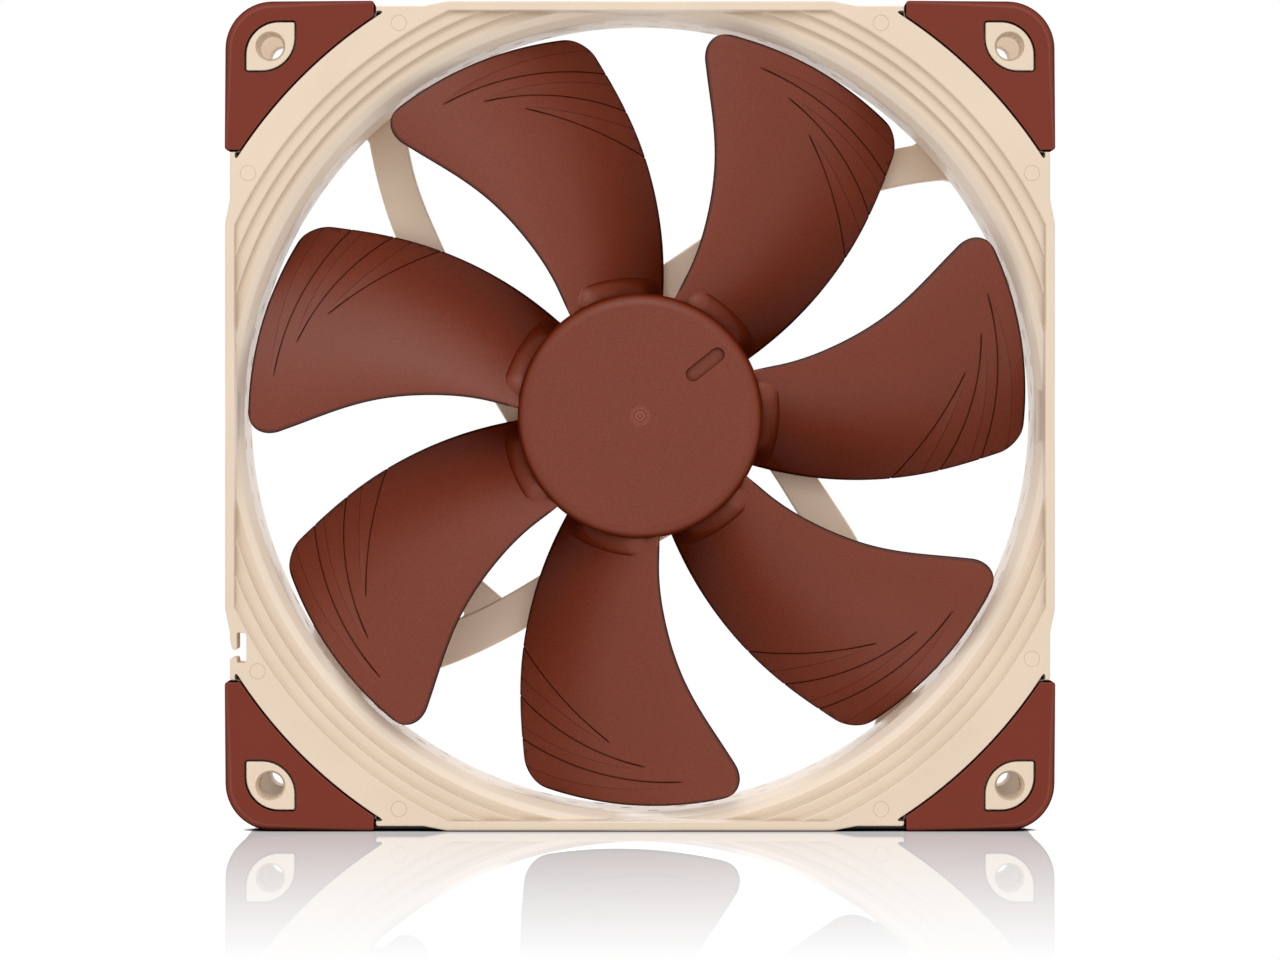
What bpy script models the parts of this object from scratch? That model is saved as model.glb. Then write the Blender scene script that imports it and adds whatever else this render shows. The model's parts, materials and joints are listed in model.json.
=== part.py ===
"""A 140 mm case fan, 25 mm deep: frame, corner pads, impeller, bearing, stator and electronics.

The rotor axis is Y. Air enters at the -Y face and leaves at the +Y face, and +Z is up.
The origin is on the rotor axis, halfway through the depth.
Lengths are millimetres and angles degrees, until make_object turns them into metres.
A point of the fan's face is (x, z), and y is its depth. A face angle runs from +X towards +Z.
"""

import math

import bmesh
import bpy

METRES_PER_MM = 0.001
GAP = 0.3  # between pieces that touch on the real fan

# Frame
SIDE = 140.0
DEPTH = 25.0
HALF = SIDE / 2
FRONT = -DEPTH / 2
REAR = DEPTH / 2
BEYOND = 2.0  # how far a cutter runs past what it cuts
FLANGE = 5.0
MIDDLE_EDGE = 69.9  # half width of the frame in the middle of each side
LEG_EDGE = 69.1  # half width beside the pads
LEG_END = 44.8  # where a pad's legs end, from the middle of the side
RAMP_OUTER = 36.5
RAMP_INNER = 32.5
THROAT_RADIUS = 67.4
WALL_OUTER_RADIUS = 70.3
BORE_SQUARE = 68.3  # the inlet steps and the outlet flare stop at this half width
# Depth behind the front face at which each inlet step starts, and its radius
INLET_STEPS = ((0.0, 75.4), (1.0, 73.3), (2.1, 71.2), (3.3, 69.7))
INLET_CURVE = ((4.6, 68.5), (7.0, THROAT_RADIUS))
# Distance in front of the rear face, and the radius of the outlet flare
OUTLET_FLARE = ((6.5, THROAT_RADIUS), (3.2, 68.4), (0.0, 70.9))

# Screw corners
HOLE_SPACING = 124.5
HOLE_RADIUS = 2.15
BOSS_SIDE = 8.1
BOSS_ROUND = 5.5
PAD_ARC_RADIUS = 81.0
PAD_CORNER_RADIUS = 8.0
PAD_TOP = 1.4
PAD_WALL = 1.7

# Cable notch in the left side: a slot with a mouth in the front flange, and an open recess in the rear one
NOTCH_SLOT = ((-67.9, -41.6), (-66.3, -36.5))
NOTCH_MOUTH = ((-72.0, -40.7), (-67.0, -39.4))
NOTCH_RECESS = ((-72.0, -43.3), (-68.3, -37.4))

# Support arms: both edges as (radius, angle) of the first arm; the others follow at quarter turns
ARM_COUNT = 4
ARM_FRONT = 9.2
ARM_REAR = 12.3
ARM_LEFT_EDGE = ((20.2, 106.0), (25.4, 84.8), (32.7, 71.0), (43.5, 60.5), (57.7, 50.6), (72.6, 41.4))
ARM_RIGHT_EDGE = ((20.2, 76.0), (24.8, 67.1), (32.0, 58.6), (44.9, 49.7), (57.9, 43.0), (72.6, 34.9))
CABLE_ARM = 2
CABLE_RIB_START = 40.0
CABLE_SLOT_START = 45.8
CABLE_SLOT_END = 63.0
CABLE_SLOT_WIDTH = 3.0
CABLE_RIB_WIDTH = 5.8
RIB_OVERLAP = 1.0
CABLE_RIB_FRONT = 9.5
CABLE_RIB_REAR = 12.0

# Motor base, in the middle of the arms
BASE_RADIUS = 21.4
BASE_RIM = 1.3
BASE_FRONT = 8.0
BASE_FLOOR = 10.9
LABEL_RECESS_RADIUS = 17.0
LABEL_RECESS = 0.6
LABEL_THICKNESS = 0.2
LABEL_MARGIN = 0.5
TUBE_RADIUS = 5.3
TUBE_BORE = 4.5
TUBE_FRONT = -5.0
TUBE_BOTTOM = 11.3
WIRE_NOTCH_WIDTH = 5.0
WIRE_NOTCH_TURN = 12.0  # from the cable arm's edge
WIRE_NOTCH_FLOOR = 10.2
WIRE_NOTCH_MARGIN = 1.0  # how far its cutter runs past the rim

# Impeller
HUB_RADIUS = 20.75
HUB_FACE = -11.6
HUB_REAR = 7.2
HUB_TOP = 1.5
HUB_WALL = 1.4
HUB_EDGE = 1.4
BLADE_COUNT = 7
BLADE_ROOT = 20.1
BLADE_TIP = 66.3
# Edges of the first blade as (radius, angle), before its tip corners are rounded
LEADING_EDGE = ((20.0, 22.3), (27.0, 19.8), (34.0, 19.8), (44.0, 22.0), (57.6, 27.1), (66.3, 29.7))
TRAILING_EDGE = ((20.0, -24.3), (31.2, -19.9), (45.1, -13.9), (58.9, -7.5), (66.3, -4.3))
LEADING_CORNER = 5.4
TRAILING_CORNER = 3.6
LEADING_DEPTH = 2.5  # behind the front face
TRAILING_DEPTH = 18.4
ROOT_CAMBER = 1.25  # power of the fall from one edge to the other
TIP_CAMBER = 2.1
ROOT_THICKNESS = 2.4
TIP_THICKNESS = 1.5
EDGE_THICKNESS = 0.8
CHORD_STEPS = 6
SPAN_STEPS = 10
TIP_CROWDING = 1.4  # above 1, a blade's sections stand closer together towards its tip

# Rotor
YOKE_RADIUS = HUB_RADIUS - HUB_WALL - GAP
YOKE_SHEET = 0.8
YOKE_FRONT = HUB_FACE + HUB_TOP + GAP
YOKE_REAR = 6.9
MAGNET_OUTER = YOKE_RADIUS - YOKE_SHEET - GAP
MAGNET_INNER = 16.1
MAGNET_FRONT = -7.6
MAGNET_REAR = 6.0
SHAFT_RADIUS = 1.5
SHAFT_FRONT = -9.6
SHAFT_REAR = 9.0
SHAFT_CHAMFER = 0.3
GROOVE_RADIUS = 1.1
GROOVE_SPAN = (7.5, 8.7)
BUSH_RADIUS = 3.2
BUSH_REAR = -6.4

# Bearing
SHELL_RADIUS = TUBE_BORE - GAP
SHELL_BORE = 3.6
SHELL_FRONT = -5.6
SHELL_REAR = TUBE_BOTTOM - GAP
SHELL_FLOOR = 0.8
BEARING_RADIUS = SHELL_BORE - GAP
RUNNING_CLEARANCE = 0.06
SLEEVE_SPAN = (-4.6, 5.9)
SEAL_SPAN = (-5.4, -4.9)
CENTRING_MAGNET_SPAN = (6.2, 7.2)
WASHER_SPAN = (7.9, 8.3)
THRUST_PAD_SPAN = (9.3, 9.9)

# Stator
POLE_COUNT = 4
CORE_SPAN = (-4.6, 3.4)
CORE_BORE = 5.6
CORE_RING = 7.6
CORE_NECK = 3.4
SHOE_INNER = 13.4
SHOE_OUTER = 15.6
SHOE_HALF_ANGLE = 36.0
SHOE_END_LEAN = 2.0  # degrees by which a shoe's inner face is shorter at each end
INSULATOR_THICKNESS = 1.0
INSULATOR_RING = 7.9
INSULATOR_NECK = 3.8
TAB_SPAN = (12.5, 13.1)
TAB_WIDTH = 7.0
TAB_HEIGHT = 1.5
TAB_LIP = 0.2
COIL_RADII = (8.2, 12.2)
COIL_OUTER_WIDTH = 8.4
COIL_INNER_WIDTH = 4.4
COIL_OUTER_SPAN = (-7.6, 6.4)
COIL_INNER_SPAN = (-6.2, 5.0)
COIL_ROUND = 0.9
COIL_ROUND_STEPS = 2
PIN_PLACE = 7.1
PIN_ANGLE = 45.0  # halfway between two poles
PIN_RADIUS = 0.3
PIN_SPAN = (5.0, 8.6)

# Circuit board and what is on it
BOARD_RADIUS = 17.4
BOARD_SPAN = (6.8, 7.8)
BOARD_BORE = 5.7
PIN_HOLE = 0.6
CHIP_BODY_START = BOARD_SPAN[1] + GAP
# name, face position, size across, size up, height
BOARD_PIECES = (
    ("driver_chip", (-11.0, 5.5), 5.0, 4.4, 1.4),
    ("capacitor_large", (11.5, 4.5), 3.4, 2.6, 2.0),
    ("capacitor_small", (10.5, -5.5), 2.0, 1.3, 1.1),
    ("resistor", (5.0, -12.0), 2.0, 1.3, 0.6),
    ("diode", (-6.5, -11.5), 2.8, 1.8, 1.2),
)
HALL_PLACE = (10.0, 10.0)
HALL_SIZE = 2.4
HALL_SPAN = (5.3, 6.5)

FINE = 64  # sides of the round shapes, from the duct down to the winding pins
HUB_SIDES = 56
ROUND = 40
BEARING_SIDES = 32
SMALL = 20
PIN_SIDES = 8
ARC_STEPS = 8  # straight runs in the outlines' round stretches
CORNER_STEPS = 5
ARM_STEPS = 10
RIB_STEPS = 5
SMOOTH_LIMIT = 35.0

FINISHES = {
    "frame_plastic": ((0.75, 0.60, 0.45), 0.45, 0.0),
    "impeller_plastic": ((0.19, 0.055, 0.036), 0.5, 0.0),
    "pad_rubber": ((0.19, 0.042, 0.024), 0.6, 0.0),
    "steel": ((0.56, 0.57, 0.58), 0.35, 1.0),
    "magnet": ((0.06, 0.06, 0.065), 0.6, 0.2),
    "brass": ((0.78, 0.57, 0.22), 0.3, 1.0),
    "sintered_bronze": ((0.45, 0.33, 0.2), 0.6, 0.8),
    "black_polymer": ((0.02, 0.02, 0.02), 0.5, 0.0),
    "lamination_steel": ((0.35, 0.36, 0.38), 0.4, 1.0),
    "insulator_polymer": ((0.75, 0.72, 0.66), 0.5, 0.0),
    "copper_wire": ((0.72, 0.3, 0.12), 0.3, 1.0),
    "circuit_board": ((0.02, 0.13, 0.05), 0.4, 0.0),
    "chip_epoxy": ((0.03, 0.03, 0.03), 0.5, 0.0),
    "ceramic": ((0.5, 0.37, 0.24), 0.4, 0.0),
    "label_film": ((0.2, 0.06, 0.045), 0.4, 0.0),
}


def clear_scene():
    for item in list(bpy.data.objects):
        bpy.data.objects.remove(item)


def finish(name):
    """The Principled BSDF material of one finish, made on first use."""
    if name in bpy.data.materials:
        return bpy.data.materials[name]
    colour, roughness, metallic = FINISHES[name]
    material = bpy.data.materials.new(name)
    material.use_nodes = True
    shader = material.node_tree.nodes["Principled BSDF"]
    shader.inputs["Base Color"].default_value = (*colour, 1.0)
    shader.inputs["Roughness"].default_value = roughness
    shader.inputs["Metallic"].default_value = metallic
    material.diffuse_color = (*colour, 1.0)
    return material


def make_object(name, bm, material):
    """A Blender object from a bmesh in millimetres."""
    bmesh.ops.recalc_face_normals(bm, faces=bm.faces)
    bmesh.ops.scale(bm, vec=(METRES_PER_MM,) * 3, verts=bm.verts)
    mesh = bpy.data.meshes.new(name)
    bm.to_mesh(mesh)
    bm.free()
    mesh.shade_smooth()
    mesh.set_sharp_from_angle(angle=math.radians(SMOOTH_LIMIT))
    made = bpy.data.objects.new(name, mesh)
    bpy.context.scene.collection.objects.link(made)
    if material:
        mesh.materials.append(finish(material))
    else:
        made.hide_render = True
        made.display_type = "WIRE"
    return made


def combine(target, operation, tool):
    """A Boolean of two objects, kept as a modifier. The tool is a cutter, hidden in renders."""
    modifier = target.modifiers.new(tool.name, "BOOLEAN")
    modifier.operation = operation
    modifier.solver = "EXACT"
    modifier.object = tool
    return target


def cut(target, tool):
    return combine(target, "DIFFERENCE", tool)


def join(target, tool):
    return combine(target, "UNION", tool)


def face_point(radius, angle):
    return (radius * math.cos(math.radians(angle)), radius * math.sin(math.radians(angle)))


def arc(centre, radius, start, end, steps):
    """Points of a circular arc on the fan's face."""
    points = []
    for step in range(steps + 1):
        x, z = face_point(radius, start + (end - start) * step / steps)
        points.append((centre[0] + x, centre[1] + z))
    return points


def turned(name, profile, sides, material=None):
    """A turned piece. The profile is a closed run of (radius, y) points."""
    bm = bmesh.new()
    add_turned(bm, profile, sides)
    return make_object(name, bm, material)


def add_turned(bm, profile, sides, centre=(0.0, 0.0)):
    rings = []
    for radius, y in profile:
        if radius == 0:
            rings.append([bm.verts.new((centre[0], y, centre[1]))] * sides)
            continue
        circle = [face_point(radius, 360 * side / sides) for side in range(sides)]
        rings.append([bm.verts.new((centre[0] + x, y, centre[1] + z)) for x, z in circle])
    for ring, following in zip(rings, rings[1:] + rings[:1]):
        for side in range(sides):
            near, far = side, (side + 1) % sides
            corners = dict.fromkeys((ring[near], ring[far], following[far], following[near]))
            if len(corners) > 2:
                bm.faces.new(corners)


def tube_profile(inner, outer, span):
    return ((inner, span[0]), (outer, span[0]), (outer, span[1]), (inner, span[1]))


def disc_profile(radius, span):
    return ((0, span[0]), (radius, span[0]), (radius, span[1]), (0, span[1]))


def add_prism(bm, outline, span):
    """An outline on the fan's face, as a solid from one depth to another."""
    near = [bm.verts.new((x, span[0], z)) for x, z in outline]
    far = [bm.verts.new((x, span[1], z)) for x, z in outline]
    bm.faces.new(near)
    bm.faces.new(far)
    count = len(outline)
    for k in range(count):
        following = (k + 1) % count
        bm.faces.new((near[k], near[following], far[following], far[k]))


def prism(name, outline, span, material=None):
    bm = bmesh.new()
    add_prism(bm, outline, span)
    return make_object(name, bm, material)


def rectangle(low, high):
    return [(low[0], low[1]), (high[0], low[1]), (high[0], high[1]), (low[0], high[1])]


def turn_outline(outline, angle):
    """The outline, turned about the rotor axis."""
    sine, cosine = math.sin(math.radians(angle)), math.cos(math.radians(angle))
    return [(x * cosine - z * sine, x * sine + z * cosine) for x, z in outline]


def smooth_value(points, place):
    """The value, at one place, of a smooth curve through (place, value) points."""
    last = len(points) - 1
    span = next((k for k in range(last) if place <= points[k + 1][0]), last - 1)
    (place_a, value_a), (place_b, value_b) = points[span], points[span + 1]
    before, after = points[max(span - 1, 0)], points[min(span + 2, last)]
    width = place_b - place_a
    slope_a = (value_b - before[1]) / (place_b - before[0]) * width
    slope_b = (after[1] - value_a) / (after[0] - place_a) * width
    t = (place - place_a) / width
    rise = t * t * (3 - 2 * t)
    return (
        value_a * (1 - rise)
        + value_b * rise
        + slope_a * t * (1 - t) ** 2
        - slope_b * t * t * (1 - t)
    )


# Screw corners


def corners():
    """Every screw corner as its name and the signs of its x and z."""
    for level, sign_z in (("top", 1), ("bottom", -1)):
        for side, sign_x in (("left", -1), ("right", 1)):
            yield f"{level}_{side}", sign_x, sign_z


def faces():
    """The front and rear faces as a name and the sign of y."""
    return ("front", -1), ("rear", 1)


def signed(outline, sign_x, sign_z):
    return [(x * sign_x, z * sign_z) for x, z in outline]


def depth_span(sign_y, near, far):
    """A span that starts near and ends far below the face on one side of the fan."""
    return tuple(sorted((sign_y * (REAR - near), sign_y * (REAR - far))))


def rounded_corner_region(edge, corner_radius, arc_radius, leg_end):
    """The outline of a corner outside an arc about the rotor axis, for the +x, +z corner."""
    inner = math.sqrt(arc_radius**2 - leg_end**2)
    start = math.degrees(math.atan2(inner, leg_end))
    centre = (edge - corner_radius,) * 2
    outline = arc((0, 0), arc_radius, 90 - start, start, ARC_STEPS)
    outline.append((leg_end, edge))
    outline += arc(centre, corner_radius, 90, 0, CORNER_STEPS)
    outline.append((edge, leg_end))
    return outline


def rounded_square(half, radius):
    """The outer corner of the flange plate under a pad, closed well inside the duct's arc."""
    inner = HALF / 2
    centre = (half - radius,) * 2
    return [(inner, inner), (inner, half)] + arc(centre, radius, 90, 0, CORNER_STEPS) + [(half, inner)]


def boss_outline(grow):
    """The eye-shaped boss round a screw hole: two opposite corners are rounded."""
    centre = HOLE_SPACING / 2
    half = BOSS_SIDE / 2 + grow
    radius = BOSS_ROUND + grow
    low, high = centre - half, centre + half
    outline = arc((low + radius, low + radius), radius, 180, 270, CORNER_STEPS)
    outline.append((high, low))
    outline += arc((high - radius, high - radius), radius, 0, 90, CORNER_STEPS)
    outline.append((low, high))
    return outline


def make_pads():
    """A soft pad over each screw corner of each face: a top round the boss, and a skirt."""
    region = rounded_corner_region(HALF, PAD_CORNER_RADIUS, PAD_ARC_RADIUS, LEG_END)
    core = rounded_square(HALF - PAD_WALL, PAD_CORNER_RADIUS - PAD_WALL)
    for corner, sign_x, sign_z in corners():
        for face, sign_y in faces():
            name = f"pad_{face}_{corner}"
            top = depth_span(sign_y, 0, FLANGE)
            under = depth_span(sign_y, PAD_TOP, FLANGE + BEYOND)
            window = depth_span(sign_y, -BEYOND, FLANGE + BEYOND)
            pad = prism(name, signed(region, sign_x, sign_z), top, "pad_rubber")
            cut(pad, prism(f"{name}_core_cut", signed(core, sign_x, sign_z), under))
            cut(pad, prism(f"{name}_boss_cut", signed(boss_outline(GAP), sign_x, sign_z), window))


# Frame


def flange_outline():
    """The frame's square outline, a little narrower beside the pads than in mid-side."""
    quarter = [
        (MIDDLE_EDGE, RAMP_INNER),
        (LEG_EDGE, RAMP_OUTER),
        (LEG_EDGE, LEG_END),
        (HALF, LEG_END),
        (HALF, HALF),
        (LEG_END, HALF),
        (LEG_END, LEG_EDGE),
        (RAMP_OUTER, LEG_EDGE),
        (RAMP_INNER, MIDDLE_EDGE),
    ]
    outline = []
    for turn in range(4):
        outline += turn_outline(quarter, 90 * turn)
    return outline


def duct_cutter():
    """The air passage: stepped inlet, throat and flared outlet, with flats at the side middles."""
    profile = [(0, FRONT - BEYOND), (INLET_STEPS[0][1], FRONT - BEYOND)]
    for (_, radius), (depth, following) in zip(INLET_STEPS, INLET_STEPS[1:]):
        profile.append((radius, FRONT + depth))
        profile.append((following, FRONT + depth))
    profile += [(radius, FRONT + depth) for depth, radius in INLET_CURVE]
    profile += [(radius, REAR - depth) for depth, radius in OUTLET_FLARE]
    profile += [(OUTLET_FLARE[-1][1], REAR + BEYOND), (0, REAR + BEYOND)]
    cutter = turned("duct_cut", profile, FINE)
    square = rectangle((-BORE_SQUARE, -BORE_SQUARE), (BORE_SQUARE, BORE_SQUARE))
    limit = prism("duct_flats", square, (FRONT - 2 * BEYOND, REAR + 2 * BEYOND))
    return combine(cutter, "INTERSECT", limit)


def window_cutter():
    """The open space between the front and rear flanges, outside the duct wall."""
    span = (FRONT + FLANGE, REAR - FLANGE)
    return turned("window_cut", tube_profile(WALL_OUTER_RADIUS, SIDE, span), FINE)


def pad_pocket_cutters():
    """Room for the pads: a recess round each boss and a step along the flange's outer edge."""
    region = rounded_corner_region(HALF + BEYOND, BEYOND, PAD_ARC_RADIUS - GAP, LEG_END - GAP)
    plate = rounded_square(HALF - PAD_WALL - GAP, PAD_CORNER_RADIUS - PAD_WALL - GAP)
    pockets, bosses, edges, plates = (bmesh.new() for _ in range(4))
    for _, sign_x, sign_z in corners():
        for _, sign_y in faces():
            outer = signed(region, sign_x, sign_z)
            add_prism(pockets, outer, depth_span(sign_y, -BEYOND, PAD_TOP + GAP))
            boss_span = depth_span(sign_y, -2 * BEYOND, 2 * FLANGE)
            add_prism(bosses, signed(boss_outline(0), sign_x, sign_z), boss_span)
            add_prism(edges, outer, depth_span(sign_y, -BEYOND, FLANGE + BEYOND))
            plate_span = depth_span(sign_y, -2 * BEYOND, 2 * FLANGE)
            add_prism(plates, signed(plate, sign_x, sign_z), plate_span)
    pocket = cut(make_object("pocket_cut", pockets, None), make_object("boss_keep", bosses, None))
    edge = cut(make_object("edge_cut", edges, None), make_object("plate_keep", plates, None))
    return pocket, edge


def screw_hole_cutter():
    bm = bmesh.new()
    place = HOLE_SPACING / 2
    for _, sign_x, sign_z in corners():
        profile = disc_profile(HOLE_RADIUS, (FRONT - BEYOND, REAR + BEYOND))
        add_turned(bm, profile, SMALL, (sign_x * place, sign_z * place))
    return make_object("screw_hole_cut", bm, None)


def notch_cutters():
    """The notch that holds the cable where it leaves the side."""
    front_span = (FRONT - BEYOND, FRONT + FLANGE + BEYOND)
    yield prism("notch_slot_cut", rectangle(*NOTCH_SLOT), front_span)
    yield prism("notch_mouth_cut", rectangle(*NOTCH_MOUTH), front_span)
    yield prism("notch_recess_cut", rectangle(*NOTCH_RECESS), (REAR - FLANGE - BEYOND, REAR + BEYOND))


def edge_points(edge, start, end, steps, shift=0.0):
    """Points along an arm's edge, moved sideways by shift millimetres."""
    points = []
    for step in range(steps + 1):
        radius = start + (end - start) * step / steps
        angle = smooth_value(edge, radius) + math.degrees(shift / radius)
        points.append(face_point(radius, angle))
    return points


def arm_outline():
    start, end = ARM_LEFT_EDGE[0][0], ARM_LEFT_EDGE[-1][0]
    left = edge_points(ARM_LEFT_EDGE, start, end, ARM_STEPS)
    right = edge_points(ARM_RIGHT_EDGE, start, end, ARM_STEPS)
    return left + right[::-1]


def cable_rib_outline():
    """The extra width of the arm that carries the cable."""
    end = ARM_RIGHT_EDGE[-1][0]
    left = edge_points(ARM_RIGHT_EDGE, CABLE_RIB_START, end, RIB_STEPS, RIB_OVERLAP)
    right = edge_points(ARM_RIGHT_EDGE, CABLE_RIB_START, end, RIB_STEPS, -CABLE_RIB_WIDTH)
    return left + right[::-1]


def cable_slot_outline():
    start, end = CABLE_SLOT_START, CABLE_SLOT_END
    left = edge_points(ARM_RIGHT_EDGE, start, end, RIB_STEPS, 0.0)
    right = edge_points(ARM_RIGHT_EDGE, start, end, RIB_STEPS, -CABLE_SLOT_WIDTH)
    return left + right[::-1]


def base_profile():
    """The motor base: a rimmed dish with a tube in its middle that holds the bearing."""
    rim_inner = BASE_RADIUS - BASE_RIM
    return (
        (0, TUBE_BOTTOM),
        (TUBE_BORE, TUBE_BOTTOM),
        (TUBE_BORE, TUBE_FRONT),
        (TUBE_RADIUS, TUBE_FRONT),
        (TUBE_RADIUS, BASE_FLOOR),
        (rim_inner, BASE_FLOOR),
        (rim_inner, BASE_FRONT),
        (BASE_RADIUS, BASE_FRONT),
        (BASE_RADIUS, REAR),
        (LABEL_RECESS_RADIUS, REAR),
        (LABEL_RECESS_RADIUS, REAR - LABEL_RECESS),
        (0, REAR - LABEL_RECESS),
    )


def make_frame():
    frame = prism("frame", flange_outline(), (FRONT, REAR), "frame_plastic")
    cut(frame, window_cutter())
    cut(frame, duct_cutter())
    for cutter in pad_pocket_cutters():
        cut(frame, cutter)
    cut(frame, screw_hole_cutter())
    for cutter in notch_cutters():
        cut(frame, cutter)
    for arm in range(ARM_COUNT):
        outline = turn_outline(arm_outline(), 360 * arm / ARM_COUNT)
        join(frame, prism(f"arm_{arm + 1}_solid", outline, (ARM_FRONT, ARM_REAR)))
    cable_angle = 360 * CABLE_ARM / ARM_COUNT
    rib = turn_outline(cable_rib_outline(), cable_angle)
    join(frame, prism("cable_rib_solid", rib, (CABLE_RIB_FRONT, CABLE_RIB_REAR)))
    slot = turn_outline(cable_slot_outline(), cable_angle)
    cut(frame, prism("cable_slot_cut", slot, (BASE_FRONT, REAR + BEYOND)))
    bore = disc_profile(BASE_RADIUS - BASE_RIM / 2, (BASE_FRONT - BEYOND, REAR + BEYOND))
    cut(frame, turned("base_clearance_cut", bore, ROUND))
    join(frame, turned("motor_base_solid", base_profile(), ROUND))
    cut(frame, wire_notch_cutter())


def wire_notch_cutter():
    """The gap in the base's rim through which the leads reach the cable arm."""
    half = WIRE_NOTCH_WIDTH / 2
    inner = BASE_RADIUS - BASE_RIM - WIRE_NOTCH_MARGIN
    outline = rectangle((inner, -half), (BASE_RADIUS + WIRE_NOTCH_MARGIN, half))
    angle = smooth_value(ARM_RIGHT_EDGE, BASE_RADIUS) + 360 * CABLE_ARM / ARM_COUNT + WIRE_NOTCH_TURN
    span = (BASE_FRONT - WIRE_NOTCH_MARGIN, WIRE_NOTCH_FLOOR)
    return prism("wire_notch_cut", turn_outline(outline, angle), span)


# Impeller


def hub_profile():
    inner = HUB_RADIUS - HUB_WALL
    half_edge = HUB_EDGE / 2
    return (
        (0, HUB_FACE),
        (HUB_RADIUS - HUB_EDGE, HUB_FACE),
        (HUB_RADIUS - half_edge / 2, HUB_FACE + half_edge / 2),
        (HUB_RADIUS, HUB_FACE + HUB_EDGE),
        (HUB_RADIUS, HUB_REAR),
        (inner, HUB_REAR),
        (inner, HUB_FACE + HUB_TOP),
        (0, HUB_FACE + HUB_TOP),
    )


def corner_pull(radius, corner):
    """How far a rounded tip corner draws the blade's edge in at this radius."""
    rise = max(0.0, radius - (BLADE_TIP - corner))
    return corner - math.sqrt(max(0.0, corner**2 - rise**2))


def blade_section(radius):
    """One closed section of the first blade as (face angle, y) points, at a constant radius."""
    share = (radius - BLADE_ROOT) / (BLADE_TIP - BLADE_ROOT)
    camber = ROOT_CAMBER + (TIP_CAMBER - ROOT_CAMBER) * share
    middle = ROOT_THICKNESS + (TIP_THICKNESS - ROOT_THICKNESS) * share
    lead_full = radius * math.radians(smooth_value(LEADING_EDGE, radius))
    trail_full = radius * math.radians(smooth_value(TRAILING_EDGE, radius))
    lead = lead_full - corner_pull(radius, LEADING_CORNER)
    trail = trail_full + corner_pull(radius, TRAILING_CORNER)
    fall = TRAILING_DEPTH - LEADING_DEPTH
    front, rear = [], []
    for step in range(CHORD_STEPS + 1):
        along = lead + (trail - lead) * step / CHORD_STEPS
        place = (lead_full - along) / (lead_full - trail_full)
        y = FRONT + LEADING_DEPTH + fall * place**camber
        slope = fall * camber * place ** (camber - 1) / (lead_full - trail_full)
        length = math.hypot(1, slope)
        bulge = math.sin(math.pi * step / CHORD_STEPS)
        half = (EDGE_THICKNESS + (middle - EDGE_THICKNESS) * bulge) / 2
        offset_along, offset_y = -half * slope / length, -half / length
        front.append((math.degrees((along + offset_along) / radius), y + offset_y))
        rear.append((math.degrees((along - offset_along) / radius), y - offset_y))
    return front + rear[::-1]


def make_blade(index):
    bm = bmesh.new()
    turn = 360 * index / BLADE_COUNT
    rings = []
    for step in range(SPAN_STEPS + 1):
        share = 1 - (1 - step / SPAN_STEPS) ** TIP_CROWDING
        radius = BLADE_ROOT + (BLADE_TIP - BLADE_ROOT) * share
        ring = []
        for angle, y in blade_section(radius):
            x, z = face_point(radius, angle + turn)
            ring.append(bm.verts.new((x, y, z)))
        rings.append(ring)
    for ring, following in zip(rings, rings[1:]):
        count = len(ring)
        for k in range(count):
            after = (k + 1) % count
            bm.faces.new((ring[k], ring[after], following[after], following[k]))
    for ring in (rings[0], rings[-1]):
        close_section(bm, ring)
    return make_object(f"blade_{index + 1}_solid", bm, None)


def close_section(bm, ring):
    """Closes one end of a blade with a strip of faces from its front to its rear surface."""
    last = len(ring) - 1
    for k in range(len(ring) // 2 - 1):
        bm.faces.new((ring[k], ring[k + 1], ring[last - k - 1], ring[last - k]))


def make_impeller():
    impeller = turned("impeller", hub_profile(), HUB_SIDES, "impeller_plastic")
    for index in range(BLADE_COUNT):
        join(impeller, make_blade(index))


# Rotor inside the hub


def make_rotor_pieces():
    yoke_inner = YOKE_RADIUS - YOKE_SHEET
    hole = BUSH_RADIUS + GAP
    bend = YOKE_SHEET / 2
    yoke = (
        (hole, YOKE_FRONT),
        (YOKE_RADIUS - bend, YOKE_FRONT),
        (YOKE_RADIUS, YOKE_FRONT + bend),
        (YOKE_RADIUS, YOKE_REAR),
        (yoke_inner, YOKE_REAR),
        (yoke_inner, YOKE_FRONT + YOKE_SHEET),
        (hole, YOKE_FRONT + YOKE_SHEET),
    )
    turned("rotor_yoke", yoke, ROUND, "steel")
    magnet = tube_profile(MAGNET_INNER, MAGNET_OUTER, (MAGNET_FRONT, MAGNET_REAR))
    turned("rotor_magnet", magnet, ROUND, "magnet")
    bush = tube_profile(SHAFT_RADIUS + GAP, BUSH_RADIUS, (YOKE_FRONT, BUSH_REAR))
    turned("shaft_bush", bush, BEARING_SIDES, "brass")
    turned("shaft", shaft_profile(), BEARING_SIDES, "steel")


def shaft_profile():
    chamfered = SHAFT_RADIUS - SHAFT_CHAMFER
    return (
        (0, SHAFT_FRONT),
        (chamfered, SHAFT_FRONT),
        (SHAFT_RADIUS, SHAFT_FRONT + SHAFT_CHAMFER),
        (SHAFT_RADIUS, GROOVE_SPAN[0]),
        (GROOVE_RADIUS, GROOVE_SPAN[0]),
        (GROOVE_RADIUS, GROOVE_SPAN[1]),
        (chamfered, GROOVE_SPAN[1]),
        (chamfered - SHAFT_CHAMFER, SHAFT_REAR),
        (0, SHAFT_REAR),
    )


# Bearing inside the frame's tube


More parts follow.
